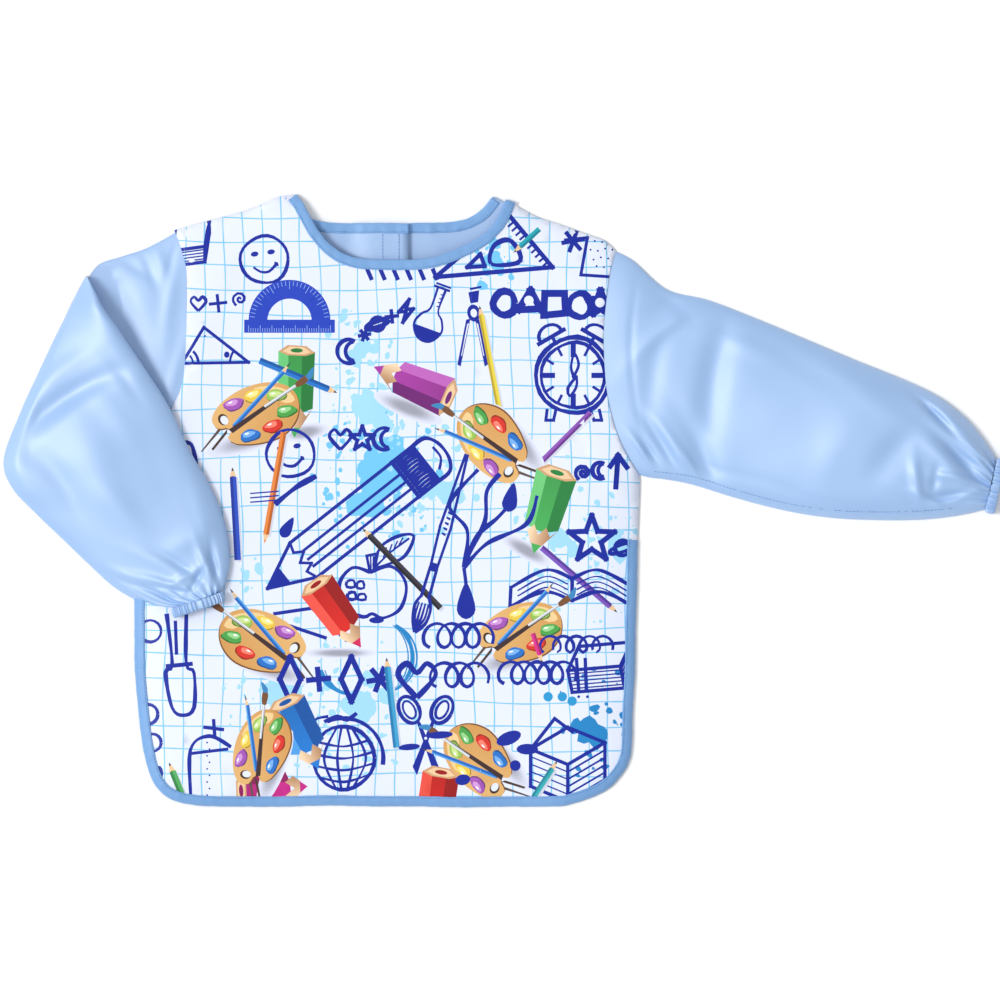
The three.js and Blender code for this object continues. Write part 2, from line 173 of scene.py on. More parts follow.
def weaveBump(tree, shader, pitch, strength, creaseScale=0.0):
    # two crossed thread waves, with a little unevenness
    link = tree.links.new
    coord = addNode(tree, "ShaderNodeTexCoord")
    waves = []
    for axis in ("X", "Y"):
        wave = addNode(tree, "ShaderNodeTexWave", Scale=1000 / pitch / fullTurn, Distortion=0.6)
        wave.bands_direction = axis
        wave.inputs["Detail"].default_value = 1.0
        link(coord.outputs["Object"], wave.inputs["Vector"])
        waves.append(wave)
    both = addNode(tree, "ShaderNodeMath", operation="MULTIPLY")
    link(waves[0].outputs["Fac"], both.inputs[0])
    link(waves[1].outputs["Fac"], both.inputs[1])
    bump = addNode(tree, "ShaderNodeBump", Strength=strength, Distance=weave["depth"])
    link(both.outputs[0], bump.inputs["Height"])
    if creaseScale:
        crease = addNode(tree, "ShaderNodeTexNoise", Scale=creaseScale, Detail=3.0, Roughness=0.55)
        link(coord.outputs["Object"], crease.inputs["Vector"])
        soft = addNode(tree, "ShaderNodeBump", Strength=0.35, Distance=0.0012)
        link(crease.outputs["Fac"], soft.inputs["Height"])
        link(bump.outputs["Normal"], soft.inputs["Normal"])
        bump = soft
    link(bump.outputs["Normal"], shader.inputs["Normal"])
    return coord


glossFrom, satinIor, clothIor = 0.5, 1.9, 1.5


def clothMaterial(name, light, dark, roughness, pitch=weave["pitch"], creaseScale=9.0, sheen=0.25, gloss=0.4):
    # woven cloth in two near tones, with thread waves and soft creases; satin has the higher gloss
    m, tree, shader = nodeMaterial(name)
    link = tree.links.new
    coord = weaveBump(tree, shader, pitch, weave["strength"], creaseScale)
    blotch = addNode(tree, "ShaderNodeTexNoise", Scale=weave["mottle"], Detail=4.0)
    link(coord.outputs["Object"], blotch.inputs["Vector"])
    ramp = addNode(tree, "ShaderNodeValToRGB")
    ramp.color_ramp.elements[0].position = 0.3
    ramp.color_ramp.elements[1].position = 0.7
    ramp.color_ramp.elements[0].color = (*linear(dark), 1)
    ramp.color_ramp.elements[1].color = (*linear(light), 1)
    link(blotch.outputs["Fac"], ramp.inputs["Fac"])
    link(ramp.outputs["Color"], shader.inputs["Base Color"])
    shader.inputs["Roughness"].default_value = roughness
    shader.inputs["Sheen Weight"].default_value = sheen
    shader.inputs["Sheen Roughness"].default_value = 0.4
    shader.inputs["Specular IOR Level"].default_value = gloss
    shader.inputs["IOR"].default_value = satinIor if gloss > glossFrom else clothIor
    return m


def linear(rgb):
    # screen colour, 0 to 255, as scene-linear values
    return tuple(
        c / 255 / 12.92 if c <= 10.3 else ((c / 255 + 0.055) / 1.055) ** 2.4 for c in rgb)


sleeveCloth = clothMaterial("sleeveSatin", (144, 181, 227), (138, 176, 224), 0.52, sheen=0.15, gloss=0.8)
backCloth = clothMaterial("backSatin", (138, 174, 220), (132, 169, 217), 0.55, sheen=0.15, gloss=0.8)
tapeCloth = clothMaterial("biasTape", (120, 164, 214), (111, 156, 208), 0.5, 0.6, 30.0)
threadMaterial = clothMaterial("thread", (84, 132, 190), (76, 124, 184), 0.55, 0.2, 0.0)
hookTapeCloth = clothMaterial("hookTape", (205, 218, 236), (190, 206, 228), 0.85, 1.1, 90.0, 0.6)
elasticCloth = clothMaterial("elasticBraid", (240, 240, 236), (224, 224, 222), 0.8, 0.9, 0.0)


def printedMaterial():
    # white satin whose print is the mesh's own colours
    m, tree, shader = nodeMaterial("printedSatin")
    weaveBump(tree, shader, weave["pitch"], weave["strength"], 7.0)
    colours = addNode(tree, "ShaderNodeVertexColor", layer_name="print")
    tree.links.new(colours.outputs["Color"], shader.inputs["Base Color"])
    shader.inputs["Roughness"].default_value = 0.4
    shader.inputs["Sheen Weight"].default_value = 0.15
    shader.inputs["Sheen Roughness"].default_value = 0.4
    shader.inputs["Specular IOR Level"].default_value = 0.25
    return m


printedCloth = printedMaterial()
print("materials made")


rightSide = [(59, -279), (80, -273), (97, -265), (109, -253), (117, -239), (120, -222), (121, -187),
             (123, -143), (124, -90), (125, -55), (127, -6), (128, 22)]
rightArmhole = [(128, 22), (115, 43), (105, 67), (98, 97), (95, 135), (95.5, 165), (100, 205), (106, 228)]
rightShoulder = [(106, 228), (96, 237), (83, 242), (55, 252), (34, 259), (17, 268), (6, 275)]
neckline = [(6, 275), (3, 267), (-4, 254), (-18, 240), (-41, 228), (-64, 221), (-91, 219), (-123, 219.5),
            (-141, 224), (-155, 233), (-167, 246.5), (-175, 260), (-182, 273), (-187, 279.5)]
leftShoulder = [(-187, 279.5), (-202, 278), (-217, 271), (-237, 263.5), (-269, 255), (-298, 247)]
leftArmhole = [(-298, 247), (-290, 224), (-286.5, 201), (-288, 132), (-292, 103), (-301, 83), (-315, 50),
               (-329, 22)]
leftSide = [(-329, 22), (-332, -30), (-334, -92), (-333.5, -125), (-333, -161), (-330, -195), (-325, -230),
            (-319, -253), (-310, -267), (-296, -275), (-277, -278.5)]
hem = [(-277, -278.5), (-242, -280), (-150, -279), (-60, -280), (13, -280), (59, -279)]
slitTop = {"left": -34, "right": -34}

outlineStep = 6
runs = {name: curveThrough(points, outlineStep) for name, points in {
    "rightSide": rightSide, "rightArmhole": rightArmhole, "rightShoulder": rightShoulder,
    "neckline": neckline, "leftShoulder": leftShoulder, "leftArmhole": leftArmhole,
    "leftSide": leftSide, "hem": hem}.items()}
outline = []
for name in ("rightSide", "rightArmhole", "rightShoulder", "neckline", "leftShoulder", "leftArmhole",
             "leftSide", "hem"):
    outline += runs[name][:-1]

# folds pressed into the front; each list of folds holds middle x and y, half length, half width, angle
# in degrees and height
frontFolds = [
    (-255, 205, 42, 9, 62, 0.9), (-268, 160, 30, 7, 40, 0.7), (-60, 190, 60, 12, -14, 0.5),
    (70, 190, 46, 8, -62, 0.8), (84, 60, 52, 8, -55, 1.3), (100, 20, 40, 6, -40, 1.2),
    (96, -30, 44, 8, -20, 0.9), (60, -80, 70, 12, 8, 0.6), (-120, -175, 90, 14, 4, 0.6),
    (-240, -170, 70, 11, 15, 0.8), (-40, -215, 110, 12, 3, 0.8), (60, -205, 60, 9, 22, 0.9),
    (-210, -235, 64, 9, -8, 0.9), (-120, -262, 30, 6, 86, 1.1), (-20, -262, 26, 5, 88, 1.2),
    (40, -262, 24, 5, 80, 1.0), (-190, -262, 26, 6, 96, 1.0), (-250, -262, 22, 5, 84, 0.9),
    (-160, 60, 120, 18, 28, 0.5), (0, 40, 120, 16, -24, 0.5), (-110, 120, 90, 16, 80, 0.4),
]
frontShape = {"low": 2.2, "high": 12.5, "run": 75, "seamRoll": 1.2, "seamWidth": 3.0, "settle": 25,
              "spacing": 7.5, "cloth": 0.5}
pinnedLines = [runs[n] for n in ("rightSide", "rightShoulder", "leftShoulder", "leftSide", "hem")]


def distanceTo(line, x, y):
    # least distance from many places to a polyline
    a = np.array(line[:-1])
    d = np.array(line[1:]) - a
    lengths = (d ** 2).sum(1)
    px, py = x[:, None] - a[None, :, 0], y[:, None] - a[None, :, 1]
    t = np.clip((px * d[:, 0] + py * d[:, 1]) / lengths, 0, 1)
    return np.sqrt(((px - t * d[:, 0]) ** 2 + (py - t * d[:, 1]) ** 2).min(1))


foldBend = 0.0016  # how much a fold curves along its length


def foldHeights(folds, x, y):
    # height that the folds add, for many places
    z = np.zeros_like(x)
    for cx, cy, halfLength, halfWidth, angle, height in folds:
        a = math.radians(angle)
        u = (x - cx) * math.cos(a) + (y - cy) * math.sin(a)
        w = -(x - cx) * math.sin(a) + (y - cy) * math.cos(a)
        w = w + foldBend * u * u
        z += height * np.exp(-(u / halfLength) ** 2 - (w / halfWidth) ** 2)
    return z


def foldAt(folds, x, y):
    # the same, for one place
    z = 0.0
    for cx, cy, halfLength, halfWidth, angle, height in folds:
        a = math.radians(angle)
        u = (x - cx) * math.cos(a) + (y - cy) * math.sin(a)
        w = -(x - cx) * math.sin(a) + (y - cy) * math.cos(a) + foldBend * u * u
        z += height * math.exp(-(u / halfLength) ** 2 - (w / halfWidth) ** 2)
    return z


def frontHeight(x, y):
    # height of the middle of the front's cloth, for many places
    x, y = np.asarray(x, float), np.asarray(y, float)
    shape = frontShape
    away = np.min([distanceTo(line, x, y) for line in pinnedLines], axis=0)
    t = np.clip(away / shape["run"], 0, 1)
    z = shape["low"] + (shape["high"] - shape["low"]) * np.sqrt(1 - (1 - t) ** 2)
    seam = np.min([distanceTo(runs[n], x, y) for n in ("rightArmhole", "leftArmhole")], axis=0)
    z -= shape["seamRoll"] * np.exp(-(seam / shape["seamWidth"]) ** 2)
    settle = np.clip(away / shape["settle"], 0, 1)
    wave = 0.35 * np.sin(x / 23 + y / 41) * np.sin(y / 31 - x / 57) + 0.2 * np.sin(x / 11 + y / 17)
    return z + settle * (foldHeights(frontFolds, x, y) + wave)


def frontZ(x, y):
    return float(frontHeight([x], [y])[0])


ink = (16, 38, 152)
inkShapes = []  # closed polygons in the order they are printed, each with a colour or a shading


def fill(points, colour):
    if len(points) == 4:
        hull = convex_hull_2d([Vector(p) for p in points])
        if len(hull) < 3:
            return
        points = [tuple(points[i]) for i in hull]
    inkShapes.append((points, colour))


penShape = {"scale": 1.62, "boldFrom": 3.2}


def penWidth(width, colour):
    # thin ink lines are drawn wider, and bold ones as they are given
    return width * penShape["scale"] if colour == ink and width < penShape["boldFrom"] else width


def stroke(points, width, colour=ink, closed=False, smoothStep=3.0, taper=False):
    width = penWidth(width, colour)
    line = curveThrough(points, smoothStep, closed) if smoothStep else list(points)
    if closed:
        line = line + [line[0]]
    sides = leftOf(line)
    n = len(line)
    rail = []
    for i, ((x, y), (nx, ny)) in enumerate(zip(line, sides)):
        w = width / 2 * (1 + 0.16 * math.sin(x / 7 + y / 9) + 0.08 * math.sin(x / 3.1 - y / 4.3))
        if taper:
            w *= 0.35 + 0.65 * math.sin(math.pi * (0.15 + 0.85 * i / (n - 1)) ** 0.8)
        rail.append(((x + nx * w, y + ny * w), (x - nx * w, y - ny * w)))
    for (a, b), (c, d) in zip(rail, rail[1:]):
        fill([b, d, c, a], colour)


def straight(points, width, colour=ink, closed=False):
    # a stroke with sharp corners
    width = penWidth(width, colour)
    line = list(points) + ([points[0]] if closed else [])
    for a, b in zip(line, line[1:]):
        d = Vector((b[0] - a[0], b[1] - a[1]))
        if d.length < 1e-6:
            continue
        d = d.normalized() * width / 2
        fill([(a[0] - d.x + d.y, a[1] - d.y - d.x), (b[0] + d.x + d.y, b[1] + d.y - d.x),
              (b[0] + d.x - d.y, b[1] + d.y + d.x), (a[0] - d.x - d.y, a[1] - d.y + d.x)], colour)


def ring(cx, cy, rx, ry, width, colour=ink, wobble=0.0, angle=0, count=26):
    pts = oval(cx, cy, rx, ry, angle, count, wobble)
    stroke(pts, width, colour, closed=True, smoothStep=0)


def oval(cx, cy, rx, ry, angle=0, count=24, wobble=0.0):
    a = math.radians(angle)
    out = []
    for k in range(count):
        t = 2 * math.pi * k / count
        r = 1 + wobble * math.sin(3 * t + cx) + wobble * 0.6 * math.sin(5 * t + cy)
        u, w = rx * r * math.cos(t), ry * r * math.sin(t)
        out.append((cx + u * math.cos(a) - w * math.sin(a), cy + u * math.sin(a) + w * math.cos(a)))
    return out


def arc(cx, cy, rx, ry, start, stop, count=12):
    return [(cx + rx * math.cos(math.radians(mix(start, stop, k / count))),
             cy + ry * math.sin(math.radians(mix(start, stop, k / count)))) for k in range(count + 1)]


def turned(cx, cy, angle, points, size=1.0, flip=1):
    # points drawn about (0, 0), moved to their place in the print
    a = math.radians(angle)
    ca, sa = math.cos(a) * size, math.sin(a) * size
    return [(cx + flip * x * ca - y * sa, cy + flip * x * sa + y * ca) for x, y in points]


def shade(a, b, near, far):
    # a colour that runs from near at a to far at b
    d = Vector((b[0] - a[0], b[1] - a[1]))
    reach = d.length_squared

    def colourAt(x, y):
        t = min(1, max(0, ((x - a[0]) * d.x + (y - a[1]) * d.y) / reach))
        return tuple(mix(p, q, t) for p, q in zip(near, far))

    return colourAt


paper = (225, 231, 247)


def softShadow(cx, cy, rx, ry, angle, dark=(158, 160, 174), rings=9):
    for k in range(rings):
        t = k / (rings - 1)
        colour = tuple(mix(p, q, smooth(t)) for p, q in zip((219, 223, 241), dark))
        size = mix(1.0, 0.3, t)
        fill(oval(cx, cy, rx * size, ry * size, angle, 20), colour)


def fatPencil(tip, end, width, colour, deep, pale, endRatio=1.25, lead=None, shadow=None):
    # a painted crayon with a scalloped wooden cone and a cut end, seen a little from above
    if shadow:
        softShadow(*shadow)
    d = Vector((end[0] - tip[0], end[1] - tip[1]))
    length = d.length
    angle = math.degrees(math.atan2(d.y, d.x))
    cone = min(length * 0.34, width * 0.9)
    w0, w1 = width / 2, width / 2 * endRatio

    def at(pts):
        return turned(tip[0], tip[1], angle, pts)

    lo, hi = length, cone
    scallop = width * 0.14
    fill(at([(hi, -w0), (lo, -w1), (lo, -w1 * 0.3), (hi - scallop, -w0 * 0.32)]), deep)
    fill(at([(hi - scallop, -w0 * 0.32), (lo, -w1 * 0.3), (lo, w1 * 0.45), (hi - scallop, w0 * 0.4)]),
         shade(at([(hi, 0)])[0], at([(lo, 0)])[0], colour, tuple(c * 0.88 for c in colour)))
    fill(at([(hi - scallop, w0 * 0.4), (lo, w1 * 0.45), (lo, w1), (hi, w0)]), pale)
    wood = at([(cone * 0.28, -w0 * 0.27), (hi, -w0), (hi - scallop * 1.6, -w0 * 0.62), (hi, -w0 * 0.3),
               (hi - scallop * 1.8, w0 * 0.05), (hi, w0 * 0.42), (hi - scallop * 1.5, w0 * 0.75),
               (hi, w0), (cone * 0.28, w0 * 0.27)])
    fill(wood, shade(at([(cone * 0.6, -w0 * 0.6)])[0], at([(cone * 0.6, w0 * 0.6)])[0],
                     (178, 132, 96), (247, 217, 180)))
    fill(at([(0, 0), (cone * 0.34, -w0 * 0.31), (cone * 0.3, 0), (cone * 0.34, w0 * 0.31)]), lead or colour)
    cut = [(lo - w1 * 0.06, -w1), (lo + w1 * 0.3, -w1 * 0.52), (lo + w1 * 0.34, w1 * 0.5),
           (lo - w1 * 0.02, w1), (lo - w1 * 0.22, w1 * 0.5), (lo - w1 * 0.24, -w1 * 0.5)]
    fill(at(cut), (206, 160, 118))
    inner = [(mix(lo + w1 * 0.05, x, 0.72), mix(0, y, 0.76)) for x, y in cut]
    fill(at(inner), (236, 200, 158))
    fill(oval(*at([(lo + w1 * 0.05, 0)])[0], w1 * 0.12, w1 * 0.34, angle, 14), deep)


def thinPencil(tip, end, width, colour, deep, lead=(60, 60, 70), shadow=True):
    d = Vector((end[0] - tip[0], end[1] - tip[1]))
    length, angle = d.length, math.degrees(math.atan2(d.y, d.x))
    w = width / 2
    if shadow:
        off = (2.2, -1.6)
        base = turned(tip[0] + off[0], tip[1] + off[1], angle,
                      [(8, -w * 0.8), (length, -w * 0.9), (length, w * 0.9), (8, w * 0.8)])
        fill(base, (203, 207, 222))

    def at(pts):
        return turned(tip[0], tip[1], angle, pts)

    fill(at([(3, -w * 0.4), (9, -w), (10, 0), (9, w), (3, w * 0.4)]), (232, 196, 150))
    fill(at([(0, 0), (3.4, -w * 0.42), (3.4, w * 0.42)]), lead)
    fill(at([(9, -w), (length, -w), (length, -w * 0.1), (8, -w * 0.1)]), deep)
    fill(at([(8, -w * 0.1), (length, -w * 0.1), (length, w), (9, w)]), colour)


blobTones = {
    "purple": ((160, 84, 178), (206, 150, 214)), "yellow": ((232, 196, 70), (250, 230, 140)),
    "lime": ((150, 190, 84), (200, 224, 140)), "green": ((76, 160, 74), (150, 210, 140)),
    "red": ((214, 52, 40), (248, 130, 110)), "blue": ((40, 112, 196), (120, 176, 236)),
}


def palette(cx, cy, angle, size=1.0, flip=1):
    def at(pts):
        return turned(cx, cy, angle, pts, size, flip)

    softShadow(*at([(-10, -22)])[0], 42 * size, 11 * size, angle + flip * 6)
    # brush handles below the palette's hole
    fill(at([(-30, -12), (-46, -25), (-47, -23), (-29, -8)]), (74, 52, 44))
    fill(at([(-31, -5), (-56, -24), (-57, -23.2), (-32, -2)]), (92, 76, 70))
    edge = curveThrough([(40, 4), (34, 18), (16, 26), (-8, 25), (-30, 16), (-41, 4), (-38, -6), (-30, -7),
                         (-25, -10), (-30, -16), (-24, -23), (-2, -27), (20, -24), (35, -12)], 4, True)
    rim = [(x + 0.6, y - 1.4) for x, y in edge]
    fill(at(rim), (120, 74, 34))
    fill(at(edge), shade(at([(-30, 20)])[0], at([(30, -24)])[0], (226, 180, 116), (206, 150, 84)))
    fill(at(curveThrough([(37, 5), (31, 16), (14, 23), (2, 22), (18, 12), (28, 4)], 4, True)),
         (238, 204, 146))
    fill(at(oval(-31, 1, 4.5, 5.5, 20, 14)), (70, 46, 30))
    fill(at(oval(-30, 0.2, 3.4, 4.4, 20, 14)), paper)
    for name, x, y, tilt in (("purple", -19, 13, 5), ("yellow", 1, 17, 8), ("lime", 21, 13, -6),
                             ("green", 27, -3, 0), ("red", 12, -14, 8), ("blue", -10, -18, 4)):
        dark, light = blobTones[name]
        fill(at(oval(x + 0.5, y - 1, 9.6, 5.4, tilt, 16, 0.07)), tuple(c * 0.66 for c in dark))
        fill(at(oval(x, y, 9.2, 5.2, tilt, 16, 0.07)), dark)
        fill(at(oval(x - 1, y + 1.2, 6, 2.6, tilt, 12, 0.1)), light)
        fill(at(oval(x - 2.4, y + 1.9, 2.2, 0.8, tilt, 8)), (252, 250, 250))
    # the pencil and the brush that lie on it
    fill(at([(-24, -6), (31, 34), (33.5, 31), (-22, -9)]), (30, 104, 190))
    fill(at([(-23, -4.6), (31, 34), (32, 33), (-22.4, -6)]), (88, 160, 226))
    fill(at([(31, 34), (38.5, 38.5), (33.5, 31)]), (232, 196, 150))
    fill(at([(36, 37), (40.5, 39.8), (37, 35.4)]), (60, 60, 70))
    fill(at([(-28, -9), (40, 19), (41, 16.4), (-25, -13)]), (62, 44, 46))
    fill(at([(8, 6), (40, 19), (41, 16.4), (9, 3.6)]), (178, 184, 192))
    fill(at([(8, 5.4), (40, 18.4), (40.3, 17.6), (8.2, 4.6)]), (240, 242, 246))
    fill(at(curveThrough([(40, 19.4), (48, 24), (55, 25), (52, 19), (41, 15.8)], 3, True)), (118, 78, 48))
    fill(at(curveThrough([(51, 24), (60, 31), (57, 22), (53, 20)], 3, True)), (58, 132, 186))


def smiley(cx, cy, r):
    ring(cx, cy, r, r * 0.98, 1.9, wobble=0.02)
    for dx, dy in ((-9, 5), (6, 7)):
        fill(oval(cx + dx, cy + dy, 3.6, 2.4, 10, 10), ink)
    stroke([(cx - 10, cy - 7), (cx - 4, cy - 11), (cx + 4, cy - 11), (cx + 11, cy - 4)], 1.6)
    stroke([(cx + 9, cy - 3), (cx + 11.5, cy - 3.4), (cx + 12, cy - 6)], 1.3)


def protractor(cx, cy, r):
    outer = arc(cx, cy, r, r, 0, 180, 26)
    inner = arc(cx, cy, r * 0.54, r * 0.54, 180, 0, 20)
    for k in range(26):
        a, b = outer[k], outer[k + 1]
        t0, t1 = k * 20 / 26, (k + 1) * 20 / 26
        c, d = along(inner[::-1], t0 / 20), along(inner[::-1], t1 / 20)
        fill([c, a, b, d], (36, 66, 186))
    bar = [(cx - r - 4, cy - 11), (cx + r + 4, cy - 11), (cx + r + 4, cy + 1), (cx - r - 4, cy + 1)]
    fill(bar, (36, 66, 186))
    for k in range(1, 30):
        a = math.radians(k * 6)
        ro, ri = r * 0.96, r * (0.86 if k % 5 else 0.78)
        straight([(cx + ro * math.cos(a), cy + ro * math.sin(a)),
                  (cx + ri * math.cos(a), cy + ri * math.sin(a))], 0.5, (150, 180, 236))
    for k in range(36):
        x = cx - r + k * 2 * r / 35
        straight([(x, cy - 10), (x, cy - (7 if k % 5 else 4.5))], 0.5, (150, 180, 236))


def triangleDoodle(a, b, c):
    straight([a, b, c], 1.8, closed=True)
    stroke(arc(b[0], b[1], 15, 15, 2, 48, 8), 1.6)
    stroke(arc(b[0], b[1], 10, 10, 2, 46, 8), 1.4)
    stroke(arc(c[0], c[1], 17, 17, 180, 140, 8), 1.6)
    fill(oval(c[0] - 20, c[1] + 7, 2.6, 3, 0, 10), ink)
    fill(oval(a[0] + 1, a[1] - 8, 1, 1, 0, 8), ink)


def flask(cx, cy, angle, size=1.0):
    def at(pts):
        return turned(cx, cy, angle, pts, size)

    stroke(at([(-4, 40), (-4, 18), (-10, 11), (-14, 0), (-8, -11), (0, -14), (8, -11), (14, 0), (10, 11),
               (4, 18), (4, 40)]), 1.3)
    fill(at([(-13, -1), (13, -1), (8, -11), (0, -13.6), (-8, -11)]), ink)
    straight(at([(-7, 40), (7, 40)]), 1.4)
    straight(at([(-6, 43), (7, 43)]), 1.2)
    for k in range(4):
        straight(at([(4, 22 + 4 * k), (1.4, 22 + 4 * k)]), 0.7)


def drawingCompass():
    legs = (([(2, 166), (6, 165), (14, 124), (11, 122)], ink),
            ([(3.4, 162), (5, 161), (10.6, 132), (9.8, 132)], paper))
    for side in (-1, 1):
        for leg, tone in legs:
            fill([(-25 + side * x, y) for x, y in leg], tone)
    fill(oval(-24, 171, 6, 8, 10, 14), ink)
    fill(oval(-24, 171, 3, 4, 10, 12), paper)
    fill([(-27, 180), (-20, 181), (-19, 192), (-29, 190)], ink)
    fill([(-27, 192), (-17, 194), (-17, 196), (-28, 194)], ink)


def alarmClock(cx, cy, r):
    ring(cx, cy, r, r * 1.02, 2.6, wobble=0.015)
    ring(cx, cy, r * 0.86, r * 0.88, 2.0, wobble=0.02)
    for k in range(12):
        a = math.radians(30 * k)
        inner = 0.64 if k % 3 else 0.56
        straight([(cx + r * 0.8 * math.cos(a), cy + r * 0.82 * math.sin(a)),
                  (cx + r * inner * math.cos(a), cy + r * inner * math.sin(a))], 3.0 if k % 3 == 0 else 1.6)
    stroke([(cx + 2, cy - 2), (cx - 5, cy - 12), (cx - 3, cy - 19), (cx + 3, cy - 10), (cx + 3, cy)], 1.6)
    stroke([(cx + 1, cy), (cx + 5, cy + 10), (cx + 1, cy + 20), (cx - 2, cy + 8), (cx, cy)], 1.8)
    fill(oval(cx + 1, cy - 1, 2.6, 2.6, 0, 10), ink)
    for side in (-1, 1):
        bx, by = cx + side * 21, cy + 37
        stroke(turned(bx, by, -side * 30, arc(0, 0, 11, 9, -10, 190, 10)), 2.0)
        straight(turned(bx, by, -side * 30, [(-13, -2), (13, -2)]), 2.4)
        straight([(bx - side * 3, by - 4), (bx - side * 5, by - 8)], 2.0)
        fx, fy = cx + side * 20, cy - r + 2
        straight([(fx - 4, fy), (fx + side * 2 - 3, fy - 9), (fx + side * 2 + 4, fy - 9), (fx + 4, fy)], 1.8)


def scissors(cx, cy):
    for side in (-1, 1):
        ring(cx + side * 15, cy + 8, 9, 13, 2.2, angle=-side * 28)
        ring(cx + side * 15, cy + 8, 5, 8.6, 1.4, angle=-side * 28)
        fill([(cx + side * 5, cy - 3), (cx + side * 9, cy - 1), (cx - side * 8, cy - 52),
              (cx - side * 12, cy - 44)], ink)
    fill(oval(cx, cy - 18, 1.4, 1.4, 0, 8), paper)


def globe(cx, cy, r):
    ring(cx, cy, r * 0.96, r, 2.2, wobble=0.015)
    for k in (-0.62, -0.2, 0.3, 0.7):
        stroke([(cx + r * k * 0.35, cy + r * 0.97), (cx + r * k, cy), (cx + r * k * 0.4, cy - r * 0.97)], 1.4)
    for k in (-0.62, -0.25, 0.12, 0.5):
        w = math.sqrt(1 - k * k) * r * 0.95
        stroke([(cx - w, cy + r * k), (cx, cy + r * k - 4), (cx + w, cy + r * k + 2)], 1.4)
    stroke(arc(cx, cy, r * 1.25, r * 1.25, 115, -10, 16), 2.2)
    stroke([(cx - 18, cy + r + 4), (cx - 6, cy + r + 9), (cx + 3, cy + r + 6), (cx + 12, cy + r + 12)], 2.2)
    stroke([(cx - 22, cy + r - 4), (cx - 26, cy + r + 6), (cx - 14, cy + r + 9)], 1.8)


def apple(cx, cy):
    stroke([(cx - 2, cy + 19), (cx - 18, cy + 23), (cx - 30, cy + 8), (cx - 25, cy - 14), (cx - 8, cy - 22),
            (cx, cy - 19), (cx + 10, cy - 23), (cx + 26, cy - 14), (cx + 31, cy + 8), (cx + 18, cy + 24),
            (cx - 2, cy + 19)], 2.0)
    for x, y, w, h in ((-20, 8, 6, 5), (-11, 7, 5, 5), (-19, -3, 6, 5), (-10, -4, 6, 4)):
        stroke([(cx + x - w / 2, cy + y + h / 2), (cx + x + w / 2, cy + y + h / 2 + 1),
                (cx + x + w / 2 + 1, cy + y - h / 2), (cx + x - w / 2, cy + y - h / 2)], 1.8, closed=True)
    straight([(cx - 2, cy + 19), (cx - 5, cy + 34), (cx + 5, cy + 36), (cx + 2, cy + 20)], 1.6)
    for k in range(4):
        straight([(cx - 3 + 2 * k, cy + 20), (cx - 4 + 2.6 * k, cy + 33)], 0.9)
    leaf = [(cx + 2, cy + 24), (cx + 8, cy + 42), (cx + 24, cy + 52), (cx + 38, cy + 52), (cx + 30, cy + 34),
            (cx + 14, cy + 26)]
    stroke(leaf, 1.8, closed=True)
    stroke([(cx + 3, cy + 24), (cx + 18, cy + 38), (cx + 34, cy + 50)], 1.2)
    for k in range(4):
        straight([(cx + 10 + 5 * k, cy + 31 + 4.6 * k), (cx + 13 + 5 * k, cy + 41 + 3 * k)], 0.9)
    fill(oval(cx + 4, cy - 25, 7, 3, 0, 10), ink)


def bookStack(points, pages):
    # points: the near corner and three edges, as a tilted box
    o, a, b, c = [Vector(p) for p in points]
    corners = [o, o + a, o + a + b, o + b]
    top = [p + c for p in corners]
    straight([tuple(p) for p in corners[:2]] + [tuple(top[1]), tuple(top[0])], 2.0, closed=True)
    straight([tuple(p) for p in top], 2.0, closed=True)
    straight([tuple(corners[1]), tuple(corners[2]), tuple(top[2]), tuple(top[1])], 2.0, closed=True)
    for k in range(1, pages):
        t = k / pages
        straight([tuple(mix(corners[1], top[1], t)), tuple(mix(corners[2], top[2], t))], 1.1)
        straight([tuple(mix(corners[0], top[0], t)), tuple(mix(corners[1], top[1], t))], 0.8)


def pencilDoodle(tip, end, width):
    d = Vector((end[0] - tip[0], end[1] - tip[1]))
    length, angle = d.length, math.degrees(math.atan2(d.y, d.x))
    w = width / 2

    def at(pts):
        return turned(tip[0], tip[1], angle, pts)

    fill(at([(0, 0), (20, -9), (17, 0), (20, 9)]), ink)
    straight(at([(0, 0), (42, -w), (length - 44, -w)]), 2.0)
    straight(at([(0, 0), (42, w), (length - 44, w)]), 2.0)
    straight(at([(42, -w), (38, -w * 0.5), (46, -w * 0.34), (38, 0), (47, w * 0.3), (39, w * 0.55),
                 (42, w)]), 1.6)
    for y in (-0.5, -0.1, 0.34):
        straight(at([(46, w * y), (length - 44, w * y)]), 1.7)
    straight(at([(length - 44, -w), (length - 44, w)]), 2.4)
    straight(at([(length - 44, -w), (length - 20, -w)]), 2.2)
    straight(at([(length - 44, w), (length - 20, w)]), 2.2)
    for k in range(11):
        y = mix(-w * 0.86, w * 0.86, k / 10)
        stroke(at([(length - 42, y), (length - 30, y + 0.8), (length - 21, y - 0.4)]), 2.3)
    straight(at([(length - 20, -w), (length - 20, w)]), 2.0)
    stroke(at([(length - 20, -w), (length - 7, -w * 0.95), (length, -w * 0.4), (length, w * 0.4),
               (length - 7, w * 0.95), (length - 20, w)]), 2.2)
    stroke(at([(length - 14, -w * 0.6), (length - 6, -w * 0.2), (length - 6, w * 0.4)]), 1.4)


